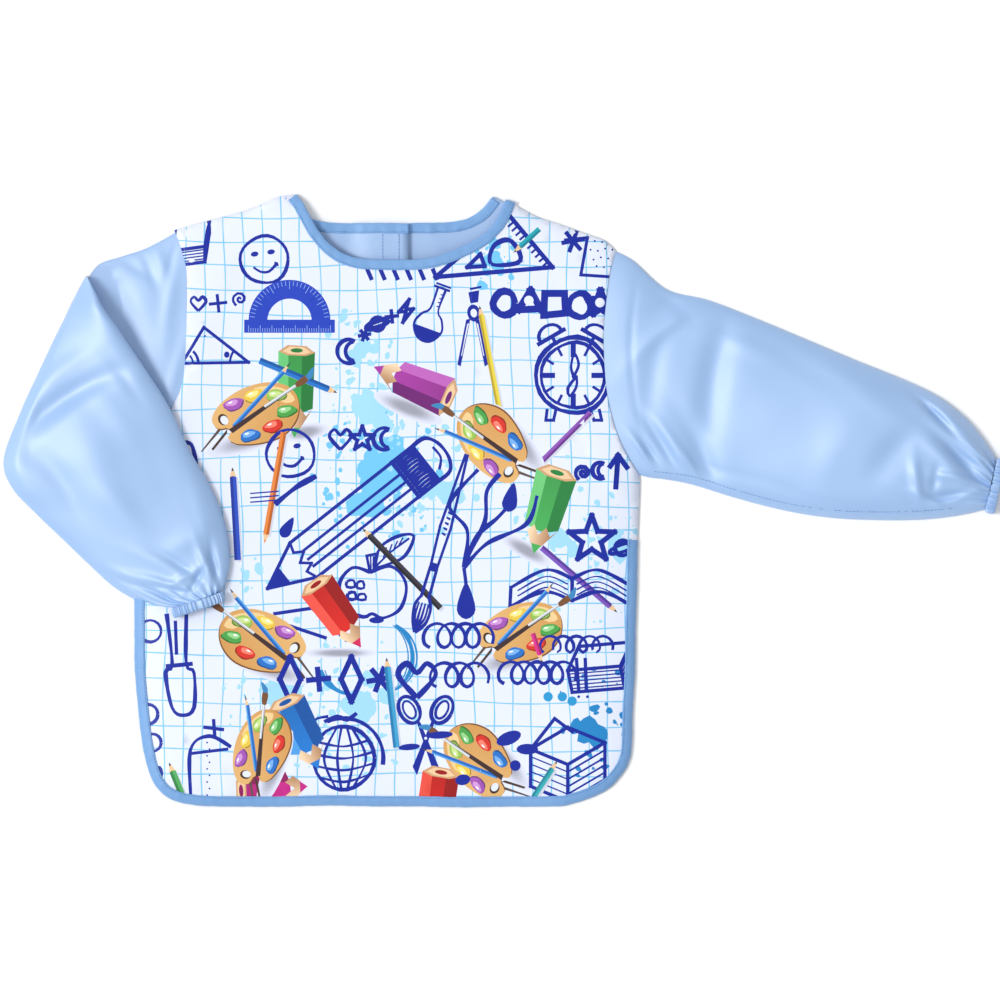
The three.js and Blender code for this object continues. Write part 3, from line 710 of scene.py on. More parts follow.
def brushDoodle(tip, end):
    d = Vector((end[0] - tip[0], end[1] - tip[1]))
    length, angle = d.length, math.degrees(math.atan2(d.y, d.x))

    def at(pts):
        return turned(tip[0], tip[1], angle, pts)

    stroke(at([(0, 0), (10, -7), (24, -8), (34, -3.6)]), 2.0)
    stroke(at([(0, 0), (12, 5), (25, 7), (34, 3.6)]), 2.0)
    for k in range(4):
        stroke(at([(3, 0), (14, -5 + 3 * k), (28, -5 + 3 * k)]), 1.3)
    straight(at([(34, -3.6), (60, -3.2)]), 1.8)
    straight(at([(34, 3.6), (60, 3.2)]), 1.8)
    fill(at([(58, -3), (66, -2), (66, 2), (58, 3)]), ink)
    straight(at([(60, -3), (100, -5), (length, -1)]), 1.6)
    straight(at([(60, 3), (100, 5), (length, 1)]), 1.6)
    for k in range(5):
        fill(at([(92 + 5 * k, -2.2), (94.5 + 5 * k, -2.2), (95 + 5 * k, 2), (93 + 5 * k, 1.4)]), ink)


def drop(x, y, size, angle):
    shape = curveThrough([(0, 14), (5, 2), (4.6, -4), (0, -7), (-4.6, -4), (-5, 2)], 3, True)
    fill(turned(x, y, angle, shape, size), ink)


def splash(cx, cy, reach, colour, seed, blobs, dots):
    pick = random.Random(seed)
    for _ in range(blobs):
        a, r = pick.uniform(0, fullTurn), reach * pick.uniform(0, 0.45)
        size = reach * pick.uniform(0.12, 0.32)
        fill(oval(cx + r * math.cos(a), cy + 1.3 * r * math.sin(a), size, size * pick.uniform(0.7, 1.4),
                  pick.uniform(0, 180), 14, 0.16), colour)
    for _ in range(dots):
        a, r = pick.uniform(0, fullTurn), reach * pick.uniform(0.35, 1.25)
        size = max(0.5, pick.gauss(1.6, 1.0))
        fill(oval(cx + r * math.cos(a), cy + 1.25 * r * math.sin(a), size, size * pick.uniform(0.8, 1.8),
                  math.degrees(a), 8, 0.08), colour)


def sign(kind, x, y, size, width):
    # one of the small signs between the drawings
    s = size / 2
    if kind == "plus":
        straight([(x - s, y - s * 0.1), (x + s, y + s * 0.1)], width)
        straight([(x + s * 0.1, y - s), (x - s * 0.1, y + s)], width)
    elif kind == "spark":
        for angle in (10, 70, 130):
            straight(turned(x, y, angle, [(-s, 0), (s, 0)]), width)
    elif kind == "diamond":
        straight([(x, y + s * 1.2), (x + s * 0.55, y), (x, y - s * 1.2), (x - s * 0.55, y)], width,
                 closed=True)
    elif kind == "heart":
        stroke([(x, y - s), (x - s, y + s * 0.2), (x - s * 0.55, y + s * 0.85), (x, y + s * 0.35),
                (x + s * 0.55, y + s * 0.85), (x + s, y + s * 0.2), (x, y - s)], width, smoothStep=2)
    elif kind == "moon":
        stroke(arc(x, y, s, s, 60, 300, 10), width, smoothStep=2)
        stroke(arc(x + s * 0.45, y, s * 0.75, s * 0.8, 95, 265, 8), width, smoothStep=2)
    elif kind == "planet":
        ring(x, y, s * 0.62, s * 0.62, width, count=16)
        ring(x, y, s * 1.15, s * 0.3, width * 0.8, angle=20, count=20)
    elif kind == "ring":
        ring(x, y, s, s * 1.1, width, wobble=0.04, count=16)
    elif kind == "square":
        straight([(x - s, y - s), (x + s, y - s * 0.8), (x + s * 0.9, y + s), (x - s * 0.9, y + s)], width,
                 closed=True)
    elif kind == "triangle":
        straight([(x - s, y - s * 0.8), (x + s, y - s * 0.7), (x + s * 0.1, y + s)], width, closed=True)
    elif kind == "star":
        angles = [math.radians(90 + 36 * k) for k in range(10)]
        straight([(x + s * r * math.cos(a), y + s * r * math.sin(a))
                  for a, r in zip(angles, (1.15, 0.48) * 5)], width, closed=True)
    elif kind == "swirl":
        stroke([(x + s * t / 14 * math.cos(t * 0.75), y + s * t / 14 * math.sin(t * 0.75))
                for t in range(15)], width)
    elif kind == "bolt":
        straight([(x + s * 0.3, y + s * 1.1), (x - s * 0.7, y - s * 0.1), (x, y - s * 0.05),
                  (x - s * 0.3, y - s * 1.1), (x + s * 0.7, y + s * 0.2), (x, y + s * 0.15)], width,
                 closed=True)


def loops(x, y, count, width, height, pen):
    # a run of joined loops, like a pen being tried out
    points = []
    for k in range(count * 8):
        t = k / 8 * 2 * math.pi
        points.append((x + width * k / 8 - height * 0.42 * math.sin(t), y - height / 2 * math.cos(t)))
    stroke(points, pen)


def openBook(cx, cy):
    for side in (-1, 1):
        stroke([(cx, cy + 12), (cx + side * 24, cy + 20), (cx + side * 56, cy + 4)], 2.0)
        stroke([(cx, cy - 8), (cx + side * 26, cy), (cx + side * 57, cy - 14)], 2.2)
        straight([(cx + side * 56, cy + 4), (cx + side * 57, cy - 14)], 2.0)
        for k in range(3):
            stroke([(cx + side * 4, cy + 7 - 5 * k), (cx + side * 24, cy + 14 - 5 * k),
                    (cx + side * 50, cy + 1 - 5 * k)], 0.9)
    straight([(cx, cy + 12), (cx, cy - 8)], 2.2)


def gridLines():
    pitchX, pitchY = 17.6, 22.2
    tone = (126, 196, 236)
    left, right = bodyMid - 240, bodyMid + 240
    x = left
    while x < right:
        pts = [(x + 1.6 * math.sin(y / 47 + x / 90) + 0.9 * math.sin(y / 19 + x), y)
               for y in range(-282, 284, 14)]
        stroke(pts, 1.15, tone, smoothStep=0)
        x += pitchX
    y = hemY + 6
    while y < 280:
        pts = [(u, y + 1.5 * math.sin(u / 43 + y / 70) + 0.8 * math.sin(u / 21 + y))
               for u in np.arange(left, right, 14)]
        stroke([(float(a), float(b)) for a, b in pts], 1.15, tone, smoothStep=0)
        y += pitchY


paleSplash, brightSplash, teal = (160, 216, 244), (112, 196, 238), (34, 132, 196)


def drawPrint():
    gridLines()
    splash(-113, 22, 48, brightSplash, 3, 16, 110)
    splash(-118, 78, 30, paleSplash, 4, 8, 60)
    splash(-126, 140, 26, paleSplash, 5, 7, 30)
    splash(-4, 224, 22, brightSplash, 6, 7, 24)
    splash(-196, -178, 46, paleSplash, 7, 9, 70)
    splash(-120, -188, 42, paleSplash, 8, 8, 60)
    splash(-56, 6, 40, paleSplash, 9, 3, 60)
    splash(62, -30, 46, paleSplash, 10, 2, 80)
    splash(92, -215, 40, teal, 11, 2, 30)
    splash(-250, -70, 30, paleSplash, 12, 1, 30)
    splash(110, -60, 40, paleSplash, 13, 1, 50)
    for cx, start, stop in ((-112, 60, -70), (-134, 200, 275)):
        for width, r in ((4.5, 32), (2.0, 36), (1.4, 28)):
            stroke(arc(cx, -144, r, 34, start, stop, 10), width, teal, taper=True)
    for x, y in ((44, -180), (57, -180), (66, -184)):
        fill(oval(x, y, 4.4, 4.4, 0, 12), (40, 150, 206))

    # along the top
    bookStack([(-300, 214), (30, 4), (4, 26), (0, 14)], 5)
    smiley(-215.5, 220, 22)
    stroke([(-172, 244), (-160, 232), (-152, 226)], 5)
    straight([(-59, 204), (48, 213), (8, 261)], 4.2, closed=True)
    straight([(-30, 213), (-18, 225), (-14, 214)], 2.4, closed=True)
    stroke([(-8, 216), (-6, 232), (8, 238), (18, 226), (16, 217)], 2.6, closed=True)
    for k in range(10):
        x, y = mix(12, 44, k / 9), mix(254, 218, k / 9)
        straight([(x, y), (x - 4, y - 3.4)], 1.3)
    thinPencil((12, 226), (36, 248), 5, (36, 164, 178), (20, 128, 146), shadow=False)
    straight([(60, 238), (80, 240), (74, 206), (104, 204)], 1.8)
    for k in range(16):
        fill(oval(80 + (k % 4) * 6 + k * 0.7, 238 - (k // 4) * 8 - (k % 3), 1.0, 1.0, 0, 6), ink)
    sign("spark", 67, 237, 18, 4)
    for k in range(6):
        straight([(-121 + 12 * k, 210), (-118 + 12 * k, 203)], 2.4)

    # the second row
    for kind, x, y in (("heart", -276, 180), ("plus", -258, 180), ("swirl", -238, 184)):
        sign(kind, x, y, 14, 1.8)
    triangleDoodle((-271, 158), (-291, 125), (-230, 126))
    protractor(-192.6, 164, 37.5)
    for kind, x, y, size in (("moon", -138, 136, 22), ("spark", -124, 151, 9), ("planet", -112, 161, 20),
                             ("plus", -99, 168, 10), ("bolt", -86, 173, 19)):
        sign(kind, x, y, size, 3.4)
    flask(-66, 158, -20, 0.95)
    drawingCompass()
    for kind, x, y in (("ring", 4, 180), ("triangle", 27, 182), ("square", 50, 179), ("ring", 73, 178),
                       ("star", 92, 180)):
        sign(kind, x, y, 20, 6.5)
        sign(kind, x - 0.6, y + 0.6, 20, 3.4)
        inkShapes.append((oval(x - 0.6, y + 0.6, 4.4, 4.4, 0, 12), paper))
    alarmClock(67, 114, 34)

    # pencils and palettes, as if lying on the page
    fatPencil((-188, 57), (-186, 136), 32, (64, 166, 82), (38, 120, 58), (104, 196, 118), 1.05,
              shadow=(-178, 62, 22, 8, 10))
    thinPencil((-148.7, 98), (-220, 127.6), 6, (34, 116, 200), (22, 84, 158))
    palette(-222.8, 79, 12)
    fatPencil((-115.7, 122), (-48, 94), 30, (166, 60, 160), (110, 34, 112), (190, 100, 186), 1.24,
              shadow=(-84, 84, 34, 9, -22))
    thinPencil((-18.8, 178), (-0.5, 82), 5, (226, 206, 70), (186, 160, 40))
    thinPencil((27.9, 25), (82.8, 80), 5, (142, 84, 178), (108, 54, 144))
    palette(-7, 52, 121, 0.98)
    fatPencil((30.7, -49), (52, 24), 32, (72, 172, 88), (40, 126, 62), (112, 200, 124), 1.2,
              shadow=(24, -46, 26, 8, -30))
    thinPencil((107.5, -103), (38, -43.5), 5.4, (122, 84, 184), (88, 54, 150))
    for kind, x, y in (("swirl", 76, 25), ("moon", 92, 27)):
        sign(kind, x, y, 15, 2.4)
    straight([(106, 12), (108, 40)], 3)
    straight([(101, 31), (108, 41), (116, 30)], 3)

    # the middle
    smiley(-191.7, 42.5, 22)
    thinPencil((-215.5, -39.8), (-198, 62), 5.4, (226, 132, 62), (186, 94, 34), (226, 132, 62))
    thinPencil((-244.8, 30), (-240, -55), 6, (44, 78, 190), (28, 52, 150))
    for k in range(3):
        straight([(-228, -2 + 4 * k), (-203, 0 + 4 * k)], 0.8)
    for kind, x in (("heart", -146), ("star", -126), ("moon", -106)):
        sign(kind, x, 56, 20, 3.6)
    stroke([(-206, -4), (-186, 12), (-168, 22)], 3.0)
    pencilDoodle((-212.7, -81), (-52, 46), 40)
    drop(-196, -28, 1.0, -30)
    apple(-117, -85)
    thinPencil((-125.8, -26), (-54.4, -99), 5.6, (58, 54, 64), (34, 32, 40), (30, 30, 36))
    brushDoodle((-78, -121), (-30.7, 40.7))
    stroke([(-33, -62), (-22, -34), (-2, -16), (14, 2)], 2.4)
    stroke([(-33, -62), (-30, -28), (-46, -4), (-20, 28)], 2.4)
    stroke([(-33, -62), (-12, -40), (24, -22), (34, 4)], 2.4)
    stroke([(-30, -52), (-14, -20), (-12, 8), (0, 24)], 2.4)
    drop(9, -2, 1.3, -12)
    drop(-31, -98, 1.6, 0)
    stroke([(-33, -62), (-31, -78), (-31, -88)], 2.0)
    sign("star", 84, -36, 38, 3.0)
    sign("planet", 112, -44, 22, 2.8)
    openBook(66, -84)
    palette(18.8, -121, 12, 0.97)

    # the lower half
    straight([(-206, -104), (-172, -99), (-141, -128)], 2.0)
    straight([(-196, -114), (-160, -126)], 2.0)
    fatPencil((-127, -135), (-168, -78), 30, (214, 38, 32), (150, 20, 20), (236, 84, 70), 1.16,
              lead=(206, 40, 90), shadow=(-146, -140, 34, 5, 0))
    palette(-218, -128.6, -14, 1.0, -1)
    stroke([(-305, -104), (-300, -150), (-306, -158), (-300, -190), (-290, -197), (-280, -190), (-280, -158),
            (-287, -150), (-287, -104)], 2.2)
    straight([(-304, -152), (-283, -150)], 2.4)
    straight([(-297, -112), (-296, -140)], 3.2)
    for kind, x, size in (("diamond", -192, 34), ("plus", -166, 18), ("diamond", -136, 34),
                          ("spark", -110, 20), ("heart", -76, 34)):
        sign(kind, x, -164, size, 5.0)
    thinPencil((-103.9, -144), (-94.7, -226.5), 6, (64, 160, 206), (36, 122, 176))
    loops(-64, -124, 4, 13, 22, 1.9)
    loops(-58, -160, 3, 14, 22, 1.9)
    loops(4, -158, 5, 12, 20, 1.9)
    loops(40, -132, 5, 12, 15, 1.7)
    straight([(70, -146), (72, -174)], 2.0)
    straight([(78, -146), (79, -174)], 2.0)
    for x in (72, 80):
        fill(oval(x, -180, 1.4, 1.4, 0, 8), ink)
    thinPencil((39, -150), (30, -122), 4.5, (214, 52, 140), (170, 30, 104), shadow=False)
    bookStack([(66, -176), (48, 4), (10, 22), (-4, 20)], 6)
    scissors(-68, -200)
    globe(-143, -236, 29)
    fatPencil((-166, -246), (-196, -186), 34, (34, 120, 206), (20, 82, 160), (80, 156, 226), 1.1)
    fatPencil((-176, -262), (-236, -266), 34, (196, 40, 134), (140, 22, 92), (220, 84, 160), 1.0)
    palette(-219, -227, 62, 0.9)
    stroke([(-283, -272), (-283, -228), (-266, -216), (-246, -226)], 2.0)
    straight([(-283, -232), (-250, -228)], 1.8)
    for k in range(9):
        fill(oval(-268 + 2.2 * (k % 2), -222 - 6 * k, 0.9, 0.9, 0, 6), ink)
    straight([(-270, -208), (-254, -210)], 2.0)
    straight([(-262, -202), (-261, -216)], 2.0)
    thinPencil((-303, -240), (-291.4, -268.6), 6, (82, 168, 96), (50, 128, 66))
    fatPencil((-60, -290), (-54, -250), 34, (206, 34, 30), (150, 20, 20), (232, 80, 66), 1.0)
    palette(-20, -239, 123, 0.94)
    bookStack([(28, -262), (34, -14), (34, 20), (0, 34)], 5)
    straight([(28, -228), (50, -200), (66, -212)], 2.0)
    thinPencil((52.6, -238.4), (30.7, -272), 5, (52, 168, 178), (30, 130, 146))
    fill(oval(25, -228, 10, 5, 0, 14), ink)
    for x, y, rx, ry, tilt in ((-55, -215, 12, 3.4, 4), (8, -218, 12, 6, 22), (-34, -256, 7, 5, 10),
                               (14, -243, 5, 5, 0), (-83, -226, 10, 3, 5)):
        fill(oval(x, y, rx, ry, tilt, 14), ink)
    for x, y, r in ((-320, -120, 10), (-322, -196, 9), (-318, -222, 8)):
        ring(x, y, r, r, 1.8, count=16)
    fill(oval(-312, -250, 4, 7, 0, 10), ink)
    stroke([(-297, 30), (-292, 50), (-284, 52), (-280, 44), (-276, 20), (-268, -4)], 2.2)


def areaOf(points):
    return sum(a[0] * b[1] - b[0] * a[1] for a, b in zip(points, points[1:] + points[:1])) / 2


def ordered(points):
    # the points, turned to run counter-clockwise
    return points if areaOf(points) > 0 else points[::-1]


def flatMesh(edge, spacing, shapes=()):
    # triangles that fill the edge, cut along every shape; each triangle knows the last shape over it
    verts = [Vector(p) for p in edge]
    faces = [list(range(len(verts)))]
    for points, _ in shapes:
        start = len(verts)
        verts += [Vector(p) for p in ordered(points)]
        faces.append(list(range(start, len(verts))))
    low = [min(p[k] for p in edge) for k in (0, 1)]
    high = [max(p[k] for p in edge) for k in (0, 1)]
    rows = int((high[1] - low[1]) / spacing)
    columns = int((high[0] - low[0]) / spacing)
    for j in range(1, rows):
        for i in range(1, columns):
            shift = 0.5 * (j % 2)
            verts.append(Vector((low[0] + (i + shift) * spacing, low[1] + j * spacing)))
    out = delaunay_2d_cdt(verts, [], faces, 0, 1e-4, True)
    # a shape drawn twice over itself would flood the sheet, so it is left out
    covered = {}
    for f, ids in zip(out[2], out[5]):
        size = areaOf([out[0][i] for i in f])
        for k in ids:
            covered[k] = covered.get(k, 0) + size
    flooded = {k for k in covered if k and covered[k] > 1 + 2 * abs(areaOf(shapes[k - 1][0]))}
    kept = [(f, max(k for k in ids if k not in flooded))
            for f, ids in zip(out[2], out[5]) if ids and 0 in ids]
    return out[0], kept


def rimOf(faces):
    # the boundary of a flat mesh, in order
    after = {}
    edges = {(f[i], f[(i + 1) % len(f)]) for f, _ in faces for i in range(len(f))}
    for a, b in edges:
        if (b, a) not in edges:
            after[a] = b
    start = next(iter(after))
    rim, at = [start], after[start]
    while at != start:
        rim.append(at)
        at = after[at]
    return rim


panelStitch = {"length": 2.4, "pitch": 3.2, "width": 0.42, "over": 0.12}


def clothPanel(name, edge, height, spacing, thickness, materials, shapes=(), seams=()):
    # a cloth with two faces, closed round its edge, with rows of stitches along the seams
    bm = bmesh.new()
    printLayer = bm.loops.layers.float_color.new("print") if shapes else None
    places, faces = flatMesh(edge, spacing, shapes)
    rim = rimOf(faces)
    z = height(np.array([p.x for p in places]), np.array([p.y for p in places]))
    used = sorted({i for f, _ in faces for i in f})
    top = {i: bm.verts.new((places[i].x * mm, places[i].y * mm, z[i] * mm)) for i in used}
    for f, shape in faces:
        face = bm.faces.new([top[i] for i in f])
        if printLayer:
            tone = shapes[shape - 1][1] if shape else paper
            for loop in face.loops:
                colour = tone(loop.vert.co.x / mm, loop.vert.co.y / mm) if callable(tone) else tone
                loop[printLayer] = (*linear(colour), 1)
    under, underFaces = flatMesh([tuple(places[i]) for i in rim], spacing)
    zUnder = height(np.array([p.x for p in under]), np.array([p.y for p in under])) - thickness
    low = {i: bm.verts.new((under[i].x * mm, under[i].y * mm, zUnder[i] * mm))
           for i in sorted({i for f, _ in underFaces for i in f})}
    inside = [bm.faces.new([low[i] for i in reversed(f)]) for f, _ in underFaces]
    for a, b in zip(range(len(rim)), list(range(1, len(rim))) + [0]):
        inside.append(bm.faces.new((top[rim[a]], low[a], low[b], top[rim[b]])))
    if printLayer:
        for face in inside:
            for loop in face.loops:
                loop[printLayer] = (*linear(paper), 1)
    for seam in seams:
        stitchesInto(bm, seam, lambda x, y: float(height([x], [y])[0]) + panelStitch["over"], panelStitch)
    return makeObject(name, bm, materials)


drawPrint()
print("print drawn:", len(inkShapes), "shapes")
frontPiece = clothPanel("printedFront", outline, frontHeight, frontShape["spacing"], frontShape["cloth"],
                        [printedCloth], inkShapes)
print("front made:", len(frontPiece.data.polygons), "faces")


bindingShape = {"width": 8.6, "half": 1.15, "pucker": 0.32, "step": 1.6, "stitchIn": 7.1}
bindingStitch = {"length": 2.1, "pitch": 3.1, "width": 0.34}


def stitchesInto(bm, path, z, stitch):
    # small raised dashes along a path, each a flattened box in the piece's second material
    length, width = stitch["length"], stitch["width"]
    line = evenly(path, stitch["pitch"])
    sides = leftOf(line)
    for (x, y), (nx, ny) in zip(line, sides):
        made = bmesh.ops.create_cube(bm, size=1)
        turn = math.atan2(-nx, ny)
        move = Matrix.Translation(Vector((x, y, z(x, y))) * mm) @ Matrix.Rotation(turn, 4, "Z")
        move = move @ Matrix.Diagonal((length * mm, width * mm, width * mm, 1))
        bmesh.ops.transform(bm, matrix=move, verts=made["verts"])
        for f in {f for v in made["verts"] for f in v.link_faces}:
            f.material_index = 1


def binding(name, path, height, closeTo, seed, below=1.0):
    # folded tape over a cloth edge; the cloth lies on the left of the path
    half, width = bindingShape["half"], bindingShape["width"]
    pick = random.Random(seed)
    phases = [pick.uniform(0, fullTurn) for _ in range(4)]
    line = evenly(path, bindingShape["step"])
    sides = leftOf(line)
    # distance in from the cloth's edge and height, as the tape lies over the edge
    profile = [(width, 0.55), (width * 0.92, 0.95), (width * 0.8, 0.78), (width * 0.6, 1.0),
               (width * 0.3, 1.06), (0.4, 1.0), (-0.5, 0.62), (-0.8, 0.0)]
    profile += [(d, -h * below) for d, h in profile[-2::-1]] + profile[:1]
    bm = bmesh.new()

    def place(u, v):
        i = min(len(line) - 1, round(v * (len(line) - 1)))
        k = round(u * (len(profile) - 1))
        d, h = profile[k]
        s = i * bindingShape["step"]
        wave = math.sin(s / 2.1 + phases[0]) * math.sin(s / 9 + phases[1])
        wave += 0.6 * math.sin(s / 4.3 + d / 2.5 + phases[2])
        (x, y), (nx, ny) = line[i], sides[i]
        reach = d + 0.28 * math.sin(s / 13 + phases[3]) + 0.12 * wave
        px, py = x + nx * reach, y + ny * reach
        base = height(x + nx * max(0, d), y + ny * max(0, d))
        pucker = 0
        if h > 0:
            pucker = bindingShape["pucker"] * wave * math.sin(math.pi * min(1, max(0, d / width)))
        return px, py, base + closeTo + half * h + pucker

    gridInto(bm, len(profile) - 1, len(line) - 1, place)
    sealed(bm)
    bmesh.ops.holes_fill(bm, edges=[e for e in bm.edges if e.is_boundary], sides=0)
    bmesh.ops.recalc_face_normals(bm, faces=bm.faces)
    seam = [(x + nx * bindingShape["stitchIn"], y + ny * bindingShape["stitchIn"])
            for (x, y), (nx, ny) in zip(line, sides)]
    stitchesInto(bm, seam, lambda x, y: height(x, y) + closeTo + half * 0.86, bindingStitch)
    return makeObject(name, bm, [tapeCloth, threadMaterial])


def part(line, keep):
    return [p for p in line if keep(*p)]


hemPath = (part(runs["leftSide"], lambda x, y: y < slitTop["left"]) + runs["hem"][1:]
           + part(runs["rightSide"], lambda x, y: y < slitTop["right"])[1:])
hemBinding = binding("frontHemBinding", hemPath, frontZ, 0.1, 21, 1.75)
neckBinding = binding("frontNeckBinding", runs["neckline"], frontZ, 0.3, 22)
print("front bindings made")


backShape = {"inset": 16, "corner": 54, "lap": 18, "neckDepth": 27, "neckHalf": 96.5, "cloth": 0.8,
             "spacing": 9, "stitchIn": (8.7, 23.6)}
backTop, backHem = 280, hemY + backShape["inset"]
foldLine = ((63.4, -263.4), (10.4, 273.2))


def backNeck(x):
    return backTop - 0.5 - backShape["neckDepth"] * (1 - (abs(x - bodyMid) / backShape["neckHalf"]) ** 6)


def backEdge(side):
    # outline of one half, counter-clockwise for the right half; side is 1 or -1
    inset, corner = backShape["inset"], backShape["corner"]
    if side > 0:
        armhole, shoulder = rightArmhole, rightShoulder
        outer, top = 113 - bodyMid, [(126, 18), (125, -30)]
    else:
        armhole, shoulder = leftArmhole[::-1], leftShoulder[::-1]
        outer, top = bodyMid + 316.5, [(-327, 18), (-329, -30)]
    centre = bodyMid - side * backShape["lap"]
    edge = [(centre, backHem)]
    edge += [(bodyMid + side * (outer - corner + corner * math.sin(a)),
              backHem + corner - corner * math.cos(a)) for a in np.linspace(0, math.pi / 2, 9)]
    edge += [(bodyMid + side * outer, -38)] + top[::-1]
    edge += [(x - side * 3.5, y) for x, y in curveThrough(armhole, 12)]
    edge += [(x, y - 3) for x, y in curveThrough(shoulder, 12)[1:-2]]
    neck = np.linspace(bodyMid + side * 95.5, centre, 24)
    edge += [(float(x), backNeck(float(x))) for x in neck]
    return [(float(x), float(y)) for x, y in edge]


def lapHeight(side):
    # top of the back's cloth: the left half rises over the right half and its tapes
    def height(x, y):
        x, y = np.asarray(x, float), np.asarray(y, float)
        z = 1.9 + 0 * x
        ripple = 0.5 * np.sin(y / 17 + x / 31) * np.sin(x / 23 - y / 43)
        if side < 0:
            rise = np.clip((x - (bodyMid - 40)) / 26, 0, 1)
            z = z + 4.4 * rise * rise * (3 - 2 * rise)
        near = np.clip((y - 200) / 40, 0, 1)
        return z + near * (1.0 + ripple + foldHeights(backFolds, x, y))
    return height


backFolds = [(-150, 232, 26, 4, 70, 1.3), (-60, 236, 22, 4, 110, 1.2), (-128, 240, 16, 3, 80, 0.9),
             (-40, 245, 14, 3, 60, 0.8), (-165, 247, 14, 3, 50, 0.8), (-95, 235, 20, 2, 90, -0.8)]
bodies = {1: ("garment_body", "back_flap_outer"), -1: ("garment_body", "back_flap_inner")}
names = {1: "right", -1: "left"}


def blendOnFold(piece, side):
    # the fold line's middle and its crossing are worked out but not used; the piece only gets its transform
    # baked
    (x0, y0), (x1, y1) = foldLine
    mid = Vector(((x0 + x1) / 2, (y0 + y1) / 2, 0))
    across = Vector((y1 - y0, x0 - x1, 0)).normalized() * 12
    if side < 0:
        mid.x = 2 * bodyMid - mid.x
        across.x = -across.x
    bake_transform(piece)


backPieces, backBindings, backNeckBindings = {}, {}, {}
for side in (1, -1):
    edge = backEdge(side)
    label = names[side].capitalize()
    height = lapHeight(side)
    counter = edge if side > 0 else edge[::-1]
    seams = [[(bodyMid + side * (back - backShape["lap"]), y) for y in (backHem + 10, 0, 242)]
             for back in backShape["stitchIn"]]
    backPieces[side] = clothPanel("back" + label, counter, height, backShape["spacing"], backShape["cloth"],
                                  [backCloth, threadMaterial], seams=seams)
    freeEdge = curveThrough(edge[:11], 4)  # down the opening, along the hem and round its corner
    if side < 0:
        freeEdge = freeEdge[::-1]
    backBindings[side] = binding("backHemBinding" + label, freeEdge, lambda x, y: 1.5, 0, 30 + side)
    neckLine = [(float(x), backNeck(float(x))) for x in
                np.linspace(bodyMid + side * 94.5, bodyMid - side * backShape["lap"], 28)]
    if side < 0:
        neckLine = neckLine[::-1]
    backNeckBindings[side] = binding("backNeckBinding" + label, neckLine,
                                     lambda x, y: float(height([x], [y])[0]), -0.2, 40 + side)
print("back made")


tapeShape = {"corner": 2.0, "rimWidth": 1.1, "rimDepth": 0.15, "stitchIn": 1.8, "tuftPitch": 2.4,
             "tuftColumns": 6, "tuftRows": 36, "hook": 0.5, "loop": 0.35}
tapeStitch = {"length": 1.8, "pitch": 2.6, "width": 0.25}


def fastenerTape(name, node, pileUp, tuftHeight):
    # a stitched tape of the CAD node's size, with rows of tufts on one face
    low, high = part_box(node)
    low, high = low / mm, high / mm
    bm = bmesh.new()
    made = bmesh.ops.create_cube(bm, size=1)
    size = high - low
    move = Matrix.Translation((low + high) / 2 * mm)
    move = move @ Matrix.Diagonal((size.x * mm, size.y * mm, size.z * mm, 1))
    bmesh.ops.transform(bm, matrix=move, verts=made["verts"])
    upright = [e for e in bm.edges if abs((e.verts[0].co - e.verts[1].co).z) > size.z * mm * 0.5]
    bmesh.ops.bevel(bm, geom=upright, offset=tapeShape["corner"] * mm, segments=4, profile=0.5,
                    affect="EDGES", material=-1)
    face = max(bm.faces, key=lambda f: f.normal.z * (1 if pileUp else -1))
    bmesh.ops.inset_region(bm, faces=[face], thickness=tapeShape["rimWidth"] * mm,
                           depth=-tapeShape["rimDepth"] * mm)
    inner = max(bm.faces, key=lambda f: f.calc_area() * max(0, f.normal.z * (1 if pileUp else -1)))
    z = inner.calc_center_median().z / mm
    reach = tapeShape["stitchIn"]
    loop = [(low.x + reach, low.y + reach), (high.x - reach, low.y + reach), (high.x - reach, high.y - reach),
            (low.x + reach, high.y - reach), (low.x + reach, low.y + reach)]
    stitchesInto(bm, loop, lambda x, y: z, tapeStitch)
    columns = tapeShape["tuftColumns"]
    for i in range(columns):
        for j in range(tapeShape["tuftRows"]):
            x, y = mix(low.x + 4, high.x - 4, i / (columns - 1)), low.y + 5 + j * tapeShape["tuftPitch"]
            if y > high.y - 4:
                continue
            tuft = bmesh.ops.create_cone(bm, cap_ends=True, segments=5, radius1=0.5 * mm, radius2=0.2 * mm,
                                         depth=tuftHeight * mm)
            bmesh.ops.translate(bm, verts=tuft["verts"], vec=Vector((x + 0.5 * (j % 2), y, z)) * mm)
    return makeObject(name, bm, [hookTapeCloth, threadMaterial])


loopTape = fastenerTape("loopTape", "loop_tape", True, tapeShape["loop"])
hookTape = fastenerTape("hookTape", "hook_tape", False, tapeShape["hook"])
print("fastener tapes made")


sleeveShape = {"crown": 0.46, "bowReach": 0.3, "across": 90, "floorLift": 0.5, "closeAt": 0.35}
sleeveStitch = {"length": 2.3, "pitch": 3.4, "width": 0.32, "over": 0.45}


